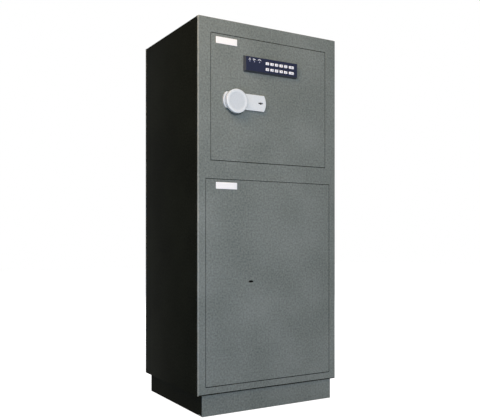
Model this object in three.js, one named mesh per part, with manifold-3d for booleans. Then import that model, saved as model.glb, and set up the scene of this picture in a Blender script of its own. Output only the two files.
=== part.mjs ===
// A floor-standing drop safe with two flush doors, in millimetres, +Z up, front towards -Y.
// The upper door has an electronic keypad and a disc handle, and a deposit drawer stands behind it.
// The drawer drops what is put in it through the divider into the lower compartment.
// The origin is on the floor, in the middle of the safe's width and of its depth over the handle.
import * as THREE from 'three';
import { mergeVertices } from 'three/addons/utils/BufferGeometryUtils.js';
import Module from 'manifold-3d';

const wasm = await Module();
wasm.setup();

// Cabinet
const BODY_WIDTH = 450;
const BODY_DEPTH = 370;
const BODY_HEIGHT = 1000;
const WALL = 4;
const FRAME_THICKNESS = 10;
const DOOR_THICKNESS = 10;
const PLINTH_HEIGHT = 57;
const PLINTH_FRONT_INSET = 5;
const PLINTH_SIDE_INSET = 15;
const PLINTH_BACK_INSET = 9;
const PLINTH_SHEET = 3;
const FOOT_FLANGE = 25;
const ANCHOR_RADIUS = 7;
const ANCHOR_INSET = 75;

// Door openings in the front frame
const TOP_MARGIN = 40;
const MULLION_HEIGHT = 48;
const SILL_HEIGHT = 20.8;
const UPPER_STILE = 37;
const LOWER_STILE = 22.2;
const UPPER_OPENING_HEIGHT = 339.2;

// Gaps
const WELD_GAP = 0.3; // between pieces that are fixed together
const RUN_GAP = 0.5; // between pieces that move on each other
const DOOR_GAP = 1.2; // the dark line around each door
const OVERRUN = 1; // how far a cut runs past the faces it opens
const FUSE_LAP = 1; // how far two shapes of one piece run into each other

// Hinges: a steel pin in the edge of the frame and of the door, above and below
const HINGE_INSET = 20;
const PIN_RADIUS = 3;
const PIN_SEAT = 14;

// Boltwork
const BOLT_RADIUS = 10;
const BOLT_CHAMFER = 1.5;
const BOLT_SET_BACK = 2;
const BOLT_BEHIND_FRAME = 3;
const STUD_RADIUS = 4;
const STUD_REACH = 6;
const BAR_THICKNESS = 4;
const BAR_WEB = 20;
const BAR_END = 20;
const THROW_MARGIN = 4;
const COVER_SHEET = 2;
const COVER_INSET = 5;
const COVER_ROOM = 2;
const UPPER_COVER_EDGE = 28;
const LOWER_COVER_EDGE = 45;
const DOG_BAR_WIDTH = 25;
const DOG_BAR_LAP = 12;
const DOG_BAR_DEPTH = 10;
const DOG_FOOT_INSET = 1;
const DRIVE_PIN_RADIUS = 4;
const DRIVE_PIN_REACH = 2;
const TONGUE_EDGE = 4;
const UPPER_THROW = 20;
const LOWER_THROW = 16;
const HANDLE_TURN = THREE.MathUtils.degToRad(60);
const KEY_TURN = THREE.MathUtils.degToRad(90);

// Handle on the upper door, measured from the door's left and bottom edges
const KNOB_FROM_EDGE = 70;
const KNOB_FROM_BOTTOM = 160.2;
const KNOB_RADIUS = 32.5;
const KNOB_THICKNESS = 10.5;
const KNOB_ROUNDING = 2.5;
const NECK_RADIUS = 17;
const NECK_LENGTH = 1.5;
const PLATE_LEFT_REACH = 36.8;
const PLATE_RIGHT_REACH = 96.5;
const PLATE_HEIGHT = 44;
const PLATE_RISE = 2.8; // from the knob's axis up to the plate's middle
const PLATE_LEFT_END_RADIUS = 30;
const PLATE_RIGHT_END_RADIUS = 42;
const PLATE_THICKNESS = 8;
const PLATE_ROUNDING = 1.5;
const SPINDLE_SIDE = 8;
const SPINDLE_SOCKET = 9;
const CAM_RADIUS = 30;
const CAM_THICKNESS = 6;
const CAM_BEHIND_DOOR = 9;
const NOTCH_DEPTH = 8;

// Keyholes and their drums
const KEYHOLE_FROM_KNOB = 79;
const KEYHOLE_LENGTH = 15;
const KEYHOLE_WIDTH = 3.6;
const KEYHOLE_EYE_RADIUS = 3.2;
const DRUM_RADIUS = 10;
const DRUM_BEHIND_DOOR = 20;
const DRUM_SLOT_DEPTH = 27;
const DRUM_LOBE_REACH = 15;
const DRUM_LOBE_WIDTH = 6;
const DRUM_LOBE_THICKNESS = 5;
const LOWER_KEYHOLE_FROM_EDGE = 137.6;
const LOWER_KEYHOLE_FROM_BOTTOM = 274.5;

// Lock cases
const CASE_SHEET = 2;
const UPPER_CASE_LEFT = 37;
const UPPER_CASE_RIGHT = 120;
const UPPER_CASE_HALF_HEIGHT = 26;
const LOCK_BOLT_WIDTH = 8;
const LOCK_BOLT_THICKNESS = 5;
const LOCK_BOLT_LENGTH = 30;
const LOCK_BOLT_CLEARANCE = 1;
const LOWER_CASE_LEFT = 42;
const LOWER_CASE_RIGHT = 46;
const LOWER_CASE_HALF_HEIGHT = 30;
const CRANK_EDGE = 3;
const CRANK_PIN_RADIUS = 3;
const CRANK_THICKNESS = 5;
const BATTERY_BOX_WIDTH = 110;
const BATTERY_BOX_HEIGHT = 52;
const BATTERY_BOX_DEPTH = 24;
const BATTERY_BOX_RISE = 12;

// Keypad on the upper door
const KEYPAD_LEFT = 98;
const KEYPAD_BOTTOM = 246;
const KEYPAD_WIDTH = 173.5;
const KEYPAD_HEIGHT = 44;
const KEYPAD_DEPTH = 10;
const KEYPAD_SLOPE = 3;
const KEYPAD_LIP = 1;
const KEYPAD_WALL = 2;
const KEY_COLUMNS = 5;
const KEY_PITCH = 15.1;
const FIRST_KEY_FROM_LEFT = 71.3;
const WIDE_KEY_FROM_LEFT = 150.8;
const LOWER_ROW_FROM_BOTTOM = 12.3;
const ROW_PITCH = 16.2;
const KEY_WIDTH = 10.6;
const WIDE_KEY_WIDTH = 16.2;
const KEY_HEIGHT = 7.7;
const KEY_PROUD = 1.2;
const KEY_FLANGE = 0.7;
const KEY_FLANGE_THICKNESS = 1;
const KEY_TRAVEL = 1;
const BOARD_THICKNESS = 1.6;
const CABLE_HOLE_RADIUS = 5;
const CABLE_HOLE_FROM_LEFT = 25;

// White label plates near the top left corner of each door
const LABEL_WIDTH = 64;
const LABEL_HEIGHT = 18;
const LABEL_THICKNESS = 0.8;
const LABEL_FROM_FRAME = 52.8;
const LABEL_DROP = 7.4;

// Deposit drawer, its hood and its chute
const SHEET = 2;
const HOOD_WIDTH = 284;
const HOOD_HEIGHT = 84;
const TRAY_DEPTH = 90;
const TRAY_HEIGHT = 64;
const DRAWER_TRAVEL = 95;
const DRAWER_END_ROOM = 3;
const FACE_THICKNESS = 4;
const FACE_GAP = 1;
const RUNNER_WIDTH = 10;
const RUNNER_HEIGHT = 8;
const DRAWER_SIDE_ROOM = 1.5;
const DRAWER_FLOOR_ROOM = 1;
const SLOT_EDGE = 4;
const CHUTE_HEIGHT = 55;
const CHUTE_EDGE = 1;
const PULL_LENGTH = 22;
const PULL_RADIUS = 12;
const PULL_NECK_RADIUS = 6;
const PULL_NECK_LENGTH = 10;
const PULL_ROUNDING = 3;

// Numbers of sides on round shapes
const ROUND_SIDES = 32;
const KNOB_SIDES = 72;
const CORNER_STEPS = 3;
const ARC_STEPS = 12;

// Bolt places, as shares of the bolt bar's height
const UPPER_BOLT_SHARES = [0.08, 0.92];
const LOWER_BOLT_SHARES = [0.05, 0.5, 0.95];

// How far right each boltwork cover reaches, as a share of its door's width
const COVER_RIGHT_SHARE = 0.66;

// Worked-out sizes of the cabinet
const knobStandoff = PLATE_THICKNESS + NECK_LENGTH + KNOB_THICKNESS;
const overallDepth = BODY_DEPTH + knobStandoff;
const insideHalfWidth = BODY_WIDTH / 2 - WALL;
const lowerOpeningHeight = BODY_HEIGHT - TOP_MARGIN - UPPER_OPENING_HEIGHT - MULLION_HEIGHT - SILL_HEIGHT;
const upperOpeningBottom = SILL_HEIGHT + lowerOpeningHeight + MULLION_HEIGHT;
const dividerBottom = SILL_HEIGHT + lowerOpeningHeight + MULLION_HEIGHT / 2 - WALL / 2;
const dividerTop = dividerBottom + WALL;
const panelFront = FRAME_THICKNESS + WELD_GAP;
const panelBack = BODY_DEPTH - WALL - WELD_GAP;

// Worked-out depths of the boltwork, behind the door's back face
const frameBack = FRAME_THICKNESS - DOOR_THICKNESS;
const boltCentreDepth = frameBack + BOLT_BEHIND_FRAME + BOLT_RADIUS;
const webFront = boltCentreDepth + BOLT_RADIUS + RUN_GAP;
const webBack = webFront + BAR_THICKNESS;
const camBack = CAM_BEHIND_DOOR + CAM_THICKNESS;
const drivePinEnd = webBack + DRIVE_PIN_REACH;
const caseBack = drivePinEnd + RUN_GAP + CASE_SHEET;
const coverBack = caseBack + COVER_ROOM + COVER_SHEET;

// Radius that the square spindle sweeps, with room to turn
const spindleSweep = (SPINDLE_SIDE / 2) * Math.SQRT2 + RUN_GAP;

// Finishes
const FRONT_PAINT = { color: 0x767b74, roughness: 0.75, metalness: 0.1 };
const SIDE_PAINT = { color: 0x16191a, roughness: 0.8, metalness: 0.1 };
const SATIN_CHROME = { color: 0xcfd6dc, roughness: 0.35, metalness: 0.8 };
const KEYPAD_PLASTIC = { color: 0x262b40, roughness: 0.45, metalness: 0 };
const WHITE_PLASTIC = { color: 0xf0f1f4, roughness: 0.5, metalness: 0 };
const ZINC_STEEL = { color: 0xb4b8bb, roughness: 0.45, metalness: 0.8 };
const BRIGHT_STEEL = { color: 0xd3d5d7, roughness: 0.3, metalness: 0.9 };
const BLACK_PLASTIC = { color: 0x1a1b1d, roughness: 0.6, metalness: 0 };
const BOARD_GREEN = { color: 0x1f5a36, roughness: 0.6, metalness: 0 };

// A three.js shape as a solid that can be joined and cut
function solidOf(geometry) {
  const bare = geometry.clone();
  bare.deleteAttribute('normal');
  bare.deleteAttribute('uv');
  const merged = mergeVertices(bare);
  return new wasm.Manifold(new wasm.Mesh({
    numProp: 3,
    vertProperties: new Float32Array(merged.attributes.position.array),
    triVerts: new Uint32Array(merged.index.array),
  }));
}

// A finished solid as flat-shaded geometry
function geometryOf(solid) {
  const mesh = solid.getMesh();
  const geometry = new THREE.BufferGeometry();
  geometry.setAttribute('position', new THREE.BufferAttribute(mesh.vertProperties, mesh.numProp));
  geometry.setIndex(new THREE.BufferAttribute(mesh.triVerts, 1));
  const flat = geometry.toNonIndexed();
  flat.computeVertexNormals();
  return flat;
}

// A block between its low and its high corner
function block(low, high) {
  const size = high.map((value, i) => value - low[i]);
  const geometry = new THREE.BoxGeometry(...size);
  geometry.translate(...low.map((value, i) => value + size[i] / 2));
  return solidOf(geometry);
}

// A round bar that starts at a point and runs along x, y or z
function rod(axis, start, length, radius) {
  const geometry = new THREE.CylinderGeometry(radius, radius, length, ROUND_SIDES);
  geometry.translate(0, length / 2, 0);
  if (axis === 'x') geometry.rotateZ(-Math.PI / 2);
  if (axis === 'z') geometry.rotateX(Math.PI / 2);
  geometry.translate(...start);
  return solidOf(geometry);
}

// A shape turned about the y axis, from a profile of [radius, y] points that runs towards +y
function turned(profile, sides) {
  const points = profile.map(([radius, y]) => new THREE.Vector2(radius, y));
  return solidOf(new THREE.LatheGeometry(points, sides));
}

// The points of a rounded corner in a profile
function corner(centreRadius, centreY, rounding, startAngle) {
  return Array.from({ length: CORNER_STEPS + 1 }, (_, i) => {
    const angle = startAngle + (i / CORNER_STEPS) * (Math.PI / 2);
    return [centreRadius + rounding * Math.cos(angle), centreY + rounding * Math.sin(angle)];
  });
}

// An open-fronted sheet-metal box: walls on four sides and at the back
function openBox(low, high, sheet) {
  const innerLow = [low[0] + sheet, low[1] - OVERRUN, low[2] + sheet];
  const innerHigh = [high[0] - sheet, high[1] - sheet, high[2] - sheet];
  return block(low, high).subtract(block(innerLow, innerHigh));
}

// A double-bit keyhole: a lying slot with a round eye, cut from front to back
function keyhole(x, z, front, back) {
  const slot = block(
    [x - KEYHOLE_LENGTH / 2, front, z - KEYHOLE_WIDTH / 2],
    [x + KEYHOLE_LENGTH / 2, back, z + KEYHOLE_WIDTH / 2],
  );
  return slot.add(rod('y', [x, front, z], back - front, KEYHOLE_EYE_RADIUS));
}

// A named piece with its own material, put into a group at a place
function place(group, name, solid, finish, position = [0, 0, 0]) {
  const mesh = new THREE.Mesh(geometryOf(solid), new THREE.MeshStandardMaterial(finish));
  mesh.name = name;
  mesh.position.set(...position);
  group.add(mesh);
}

// Sizes of the two doors: each fills its opening but for the gap around it
function doorSize(stile, openingBottom, openingHeight) {
  const width = BODY_WIDTH - 2 * (stile + DOOR_GAP);
  const height = openingHeight - 2 * DOOR_GAP;
  const hingeX = width / 2 - HINGE_INSET;
  return { stile, openingBottom, openingHeight, width, height, hingeX };
}

const upper = doorSize(UPPER_STILE, upperOpeningBottom, UPPER_OPENING_HEIGHT);
const lower = doorSize(LOWER_STILE, SILL_HEIGHT, lowerOpeningHeight);

// The whole safe, and the cabinet frame: y from the front face, z from the body's underside
const safe = new THREE.Group();
const cabinet = new THREE.Group();
cabinet.position.set(0, knobStandoff - overallDepth / 2, PLINTH_HEIGHT);
safe.add(cabinet);

// Front frame: one plate with two door openings and the hinge pin bores in their edges
function buildFrontFrame() {
  let frame = block([-BODY_WIDTH / 2, 0, 0], [BODY_WIDTH / 2, FRAME_THICKNESS, BODY_HEIGHT]);
  for (const door of [upper, lower]) {
    const halfOpening = BODY_WIDTH / 2 - door.stile;
    const openingTop = door.openingBottom + door.openingHeight;
    frame = frame.subtract(block(
      [-halfOpening, -OVERRUN, door.openingBottom],
      [halfOpening, FRAME_THICKNESS + OVERRUN, openingTop],
    ));
    for (const boreBottom of [door.openingBottom - PIN_SEAT, openingTop - OVERRUN]) {
      frame = frame.subtract(rod(
        'z', [door.hingeX, DOOR_THICKNESS / 2, boreBottom], PIN_SEAT + OVERRUN, PIN_RADIUS + WELD_GAP,
      ));
    }
  }
  place(cabinet, 'front_frame', frame, FRONT_PAINT);
}

// Side, top, back and base panels, and the divider with the drop slot
function buildPanels() {
  const sidePanel = block([0, panelFront, 0], [WALL, panelBack, BODY_HEIGHT]);
  place(cabinet, 'left_side_panel', sidePanel, SIDE_PAINT, [-BODY_WIDTH / 2, 0, 0]);
  place(cabinet, 'right_side_panel', sidePanel, SIDE_PAINT, [insideHalfWidth, 0, 0]);

  const halfWidth = insideHalfWidth - WELD_GAP;
  const level = block([-halfWidth, panelFront, 0], [halfWidth, panelBack, WALL]);
  place(cabinet, 'top_panel', level, SIDE_PAINT, [0, 0, BODY_HEIGHT - WALL]);

  let base = level;
  for (const x of [-insideHalfWidth + ANCHOR_INSET, insideHalfWidth - ANCHOR_INSET]) {
    for (const y of [panelFront + ANCHOR_INSET, panelBack - ANCHOR_INSET]) {
      base = base.subtract(rod('z', [x, y, -OVERRUN], WALL + 2 * OVERRUN, ANCHOR_RADIUS));
    }
  }
  place(cabinet, 'base_panel', base, FRONT_PAINT);

  const slot = block(
    [-dropHalfWidth, dropFront, -OVERRUN],
    [dropHalfWidth, dropBack, WALL + OVERRUN],
  );
  place(cabinet, 'divider_floor', level.subtract(slot), FRONT_PAINT, [0, 0, dividerBottom]);

  const back = block([-BODY_WIDTH / 2, BODY_DEPTH - WALL, 0], [BODY_WIDTH / 2, BODY_DEPTH, BODY_HEIGHT]);
  place(cabinet, 'back_panel', back, SIDE_PAINT);
}

// Recessed plinth: four folded walls, each with a foot flange turned inwards
function buildPlinth() {
  const halfWidth = BODY_WIDTH / 2 - PLINTH_SIDE_INSET;
  const front = PLINTH_FRONT_INSET;
  const back = BODY_DEPTH - PLINTH_BACK_INSET;
  const wallTop = PLINTH_HEIGHT - WELD_GAP;
  const plinth = new THREE.Group();
  plinth.position.z = -PLINTH_HEIGHT;
  cabinet.add(plinth);

  const crossWall = block([-halfWidth, 0, 0], [halfWidth, PLINTH_SHEET, wallTop]);
  const frontFlange = block([-halfWidth, 0, 0], [halfWidth, FOOT_FLANGE, PLINTH_SHEET]);
  const backFlange = frontFlange.translate([0, PLINTH_SHEET - FOOT_FLANGE, 0]);
  place(plinth, 'plinth_front', crossWall.add(frontFlange), FRONT_PAINT, [0, front, 0]);
  place(plinth, 'plinth_back', crossWall.add(backFlange), SIDE_PAINT, [0, back - PLINTH_SHEET, 0]);

  const wallRun = [front + PLINTH_SHEET + WELD_GAP, back - PLINTH_SHEET - WELD_GAP];
  const flangeRun = [front + FOOT_FLANGE + WELD_GAP, back - FOOT_FLANGE - WELD_GAP];
  const wall = block([0, wallRun[0], PLINTH_SHEET + WELD_GAP], [PLINTH_SHEET, wallRun[1], wallTop]);
  const wallFoot = block([0, flangeRun[0], 0], [PLINTH_SHEET, flangeRun[1], PLINTH_SHEET + FUSE_LAP]);
  const leftFlange = block([0, flangeRun[0], 0], [FOOT_FLANGE, flangeRun[1], PLINTH_SHEET]);
  const rightFlange = leftFlange.translate([PLINTH_SHEET - FOOT_FLANGE, 0, 0]);
  const sideWall = wall.add(wallFoot);
  place(plinth, 'plinth_left', sideWall.add(leftFlange), SIDE_PAINT, [-halfWidth, 0, 0]);
  place(plinth, 'plinth_right', sideWall.add(rightFlange), SIDE_PAINT, [halfWidth - PLINTH_SHEET, 0, 0]);
}

// Places of the deposit unit, from the cabinet's back wall forwards
const hoodBack = panelBack - WELD_GAP;
const drawerBack = hoodBack - SHEET - DRAWER_END_ROOM;
const trayBack = drawerBack - DRAWER_TRAVEL;
const trayFront = trayBack - TRAY_DEPTH;
const runnerOuter = HOOD_WIDTH / 2 - SHEET - WELD_GAP;
const runnerInner = runnerOuter - RUNNER_WIDTH;
const drawerHalfWidth = runnerInner - DRAWER_SIDE_ROOM;
const dropHalfWidth = drawerHalfWidth - SHEET - SLOT_EDGE;
const dropFront = trayFront + SHEET + SLOT_EDGE;
const dropBack = trayBack - SHEET - SLOT_EDGE;

// Hood over the drawer, its runners, and the chute under the divider
function buildDepositHousing() {
  const floor = dividerTop + WELD_GAP;
  const half = HOOD_WIDTH / 2;
  const hood = block([-half, trayFront, 0], [half, hoodBack, HOOD_HEIGHT]).subtract(block(
    [-half + SHEET, trayFront - OVERRUN, -OVERRUN],
    [half - SHEET, hoodBack - SHEET, HOOD_HEIGHT - SHEET],
  ));
  place(cabinet, 'deposit_hood', hood, ZINC_STEEL, [0, 0, floor]);

  const runner = block([0, trayFront, 0], [RUNNER_WIDTH, drawerBack, RUNNER_HEIGHT]);
  place(cabinet, 'left_runner', runner, ZINC_STEEL, [-runnerOuter, 0, floor]);
  place(cabinet, 'right_runner', runner, ZINC_STEEL, [runnerInner, 0, floor]);

  const inner = dropHalfWidth + CHUTE_EDGE;
  const outer = inner + SHEET;
  const chuteFront = dropFront - CHUTE_EDGE - SHEET;
  const chuteBack = dropBack + CHUTE_EDGE + SHEET;
  const chute = block([-outer, chuteFront, 0], [outer, chuteBack, CHUTE_HEIGHT]).subtract(block(
    [-inner, chuteFront + SHEET, -OVERRUN],
    [inner, chuteBack - SHEET, CHUTE_HEIGHT + OVERRUN],
  ));
  place(cabinet, 'drop_chute', chute, ZINC_STEEL, [0, 0, dividerBottom - WELD_GAP - CHUTE_HEIGHT]);
}

// Deposit drawer: a bottomless tray over the slot, with a shutter behind it that shuts the slot
function buildDepositDrawer() {
  const drawer = new THREE.Group();
  drawer.position.z = dividerTop + DRAWER_FLOOR_ROOM;
  cabinet.add(drawer);

  const half = drawerHalfWidth;
  const tray = block([-half, trayFront, 0], [half, trayBack, TRAY_HEIGHT]).subtract(block(
    [-half + SHEET, trayFront + SHEET, -OVERRUN],
    [half - SHEET, trayBack - SHEET, TRAY_HEIGHT + OVERRUN],
  ));
  const flangeBottom = WELD_GAP + RUNNER_HEIGHT + RUN_GAP - DRAWER_FLOOR_ROOM;
  const flangeTop = flangeBottom + SHEET;
  const shutter = block([-half, trayBack - SHEET, 0], [half, drawerBack, SHEET]);
  const flangeOuter = runnerOuter - RUN_GAP;
  let body = tray.add(shutter);
  for (const side of [-1, 1]) {
    const web = [side * half, side * (half - SHEET)].sort((a, b) => a - b);
    const flange = [side * (half - SHEET), side * flangeOuter].sort((a, b) => a - b);
    body = body.add(block([web[0], trayFront, 0], [web[1], drawerBack, flangeTop]));
    body = body.add(block([flange[0], trayFront, flangeBottom], [flange[1], drawerBack, flangeTop]));
  }
  const face = block(
    [-HOOD_WIDTH / 2, trayFront - FACE_GAP - FACE_THICKNESS, 0],
    [HOOD_WIDTH / 2, trayFront - FACE_GAP, HOOD_HEIGHT - DRAWER_FLOOR_ROOM],
  );
  const frontWall = block([-half, trayFront - FACE_GAP - FUSE_LAP, 0], [half, trayFront + SHEET, TRAY_HEIGHT]);
  place(drawer, 'deposit_drawer', body.add(face).add(frontWall), FRONT_PAINT);

  const profile = [
    [0, -PULL_LENGTH],
    ...corner(PULL_RADIUS - PULL_ROUNDING, PULL_ROUNDING - PULL_LENGTH, PULL_ROUNDING, -Math.PI / 2),
    [PULL_RADIUS, -PULL_NECK_LENGTH],
    [PULL_NECK_RADIUS, -PULL_NECK_LENGTH],
    [PULL_NECK_RADIUS, 0],
    [0, 0],
  ];
  const pullFoot = trayFront - FACE_GAP - FACE_THICKNESS - WELD_GAP;
  place(drawer, 'drawer_pull', turned(profile, ROUND_SIDES), SATIN_CHROME, [0, pullFoot, HOOD_HEIGHT / 2]);
}

// A door group: x from the door's left edge, y from its back face, z from its bottom edge
function doorGroup(door) {
  const group = new THREE.Group();
  group.position.set(-door.width / 2, DOOR_THICKNESS, door.openingBottom + DOOR_GAP);
  cabinet.add(group);
  return group;
}

// A door panel with its two hinge bores, and the holes that its lock needs
function buildDoorPanel(group, prefix, door, holes) {
  let panel = block([0, -DOOR_THICKNESS, 0], [door.width, 0, door.height]);
  const hingeX = door.width - HINGE_INSET;
  const boreLength = PIN_SEAT + OVERRUN;
  for (const boreBottom of [-OVERRUN, door.height - PIN_SEAT]) {
    const start = [hingeX, -DOOR_THICKNESS / 2, boreBottom];
    panel = panel.subtract(rod('z', start, boreLength, PIN_RADIUS + WELD_GAP));
  }
  for (const hole of holes) panel = panel.subtract(hole);
  place(group, `${prefix}_door_panel`, panel, FRONT_PAINT);

  const pinLength = 2 * PIN_SEAT + DOOR_GAP - 2 * WELD_GAP;
  const pin = rod('z', [0, 0, 0], pinLength, PIN_RADIUS);
  const pinFoot = PIN_SEAT + DOOR_GAP - WELD_GAP;
  const places = { top: door.height - PIN_SEAT + WELD_GAP, bottom: -pinFoot };
  for (const [end, z] of Object.entries(places)) {
    place(group, `${prefix}_hinge_pin_${end}`, pin, BRIGHT_STEEL, [hingeX, -DOOR_THICKNESS / 2, z]);
  }
}

// Fixed bar on the hinge side that laps behind the frame, so the door can't be levered off its pins
function buildDogBar(group, prefix, door, barBottom, barTop) {
  const left = door.width - DOG_BAR_WIDTH;
  const lapFront = frameBack + BOLT_BEHIND_FRAME;
  const lapBack = lapFront + DOG_BAR_DEPTH;
  const foot = block([left, WELD_GAP, barBottom], [door.width - DOG_FOOT_INSET, lapBack, barTop]);
  const lap = block([left, lapFront, barBottom], [door.width + DOG_BAR_LAP, lapBack, barTop]);
  place(group, `${prefix}_dog_bar`, foot.add(lap), ZINC_STEEL);
}

// Bolt bar: an upright flange for the bolts, a web behind it, and a tongue with the drive slot
function buildBoltBar(group, prefix, drive) {
  const { axisX, axisZ, throwLength, turn, pinRadius, barBottom, barTop, shares } = drive;
  const crank = throwLength / (2 * Math.sin(turn / 2));
  const flangeLeft = COVER_INSET + COVER_SHEET + THROW_MARGIN + throwLength;
  const flangeRight = flangeLeft + BAR_THICKNESS;
  const flangeFront = boltCentreDepth - BOLT_RADIUS;
  const slotX = axisX + throwLength / 2;
  const slotHalf = pinRadius + RUN_GAP;
  const slotBottom = axisZ + crank * Math.cos(turn / 2) - slotHalf;
  const slotTop = axisZ + crank + slotHalf;
  const shankLength = flangeLeft - WELD_GAP - BOLT_SET_BACK;
  const stud = BAR_THICKNESS + 2 * WELD_GAP + STUD_REACH;

  let bar = block([flangeLeft, flangeFront, barBottom], [flangeRight, webBack, barTop]);
  bar = bar.add(block([flangeLeft, webFront, barBottom], [flangeRight + BAR_WEB, webBack, barTop]));
  bar = bar.add(block(
    [flangeLeft, webFront, slotBottom - TONGUE_EDGE],
    [slotX + slotHalf + TONGUE_EDGE, webBack, slotTop + TONGUE_EDGE],
  ));
  bar = bar.subtract(block(
    [slotX - slotHalf, webFront - OVERRUN, slotBottom],
    [slotX + slotHalf, webBack + OVERRUN, slotTop],
  ));

  const profile = [
    [0, 0],
    [STUD_RADIUS, 0],
    [STUD_RADIUS, stud],
    [BOLT_RADIUS, stud],
    [BOLT_RADIUS, stud + shankLength - BOLT_CHAMFER],
    [BOLT_RADIUS - BOLT_CHAMFER, stud + shankLength],
    [0, stud + shankLength],
  ];
  const boltGeometry = geometryOf(turned(profile, ROUND_SIDES));
  boltGeometry.rotateZ(Math.PI / 2);
  const bolt = solidOf(boltGeometry);
  shares.forEach((share, i) => {
    const z = barBottom + share * (barTop - barBottom);
    const hole = rod('x', [flangeLeft - OVERRUN, boltCentreDepth, z], BAR_THICKNESS + 2 * OVERRUN,
      STUD_RADIUS + WELD_GAP);
    bar = bar.subtract(hole);
    place(group, `${prefix}_bolt_${i + 1}`, bolt, BRIGHT_STEEL,
      [flangeLeft - WELD_GAP + stud, boltCentreDepth, z]);
  });
  place(group, `${prefix}_bolt_bar`, bar, ZINC_STEEL);
}

// Sheet cover over the boltwork, with a hole for each bolt in its left wall
function buildCover(group, prefix, drive) {
  const { right, bottom, top } = drive.cover;
  let cover = openBox([COVER_INSET, WELD_GAP, bottom], [right, coverBack, top], COVER_SHEET);
  for (const share of drive.shares) {
    const z = drive.barBottom + share * (drive.barTop - drive.barBottom);
    cover = cover.subtract(rod('x', [COVER_INSET - OVERRUN, boltCentreDepth, z], COVER_SHEET + 2 * OVERRUN,
      BOLT_RADIUS + RUN_GAP));
  }
  place(group, `${prefix}_boltwork_cover`, cover, FRONT_PAINT);
}

// A white plate stuck near the door's top left corner
function buildLabel(group, prefix, door) {
  const left = LABEL_FROM_FRAME - door.stile - DOOR_GAP;
  const back = -DOOR_THICKNESS - WELD_GAP;
  const top = door.height - LABEL_DROP;
  const label = block([0, -LABEL_THICKNESS, -LABEL_HEIGHT], [LABEL_WIDTH, 0, 0]);
  place(group, `${prefix}_label_plate`, label, WHITE_PLASTIC, [left, back, top]);
}

// The boltwork cover, from its share of the door's size
function coverOf(door, rightShare, edge) {
  return { right: door.width * rightShare, bottom: edge, top: door.height - edge };
}

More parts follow.
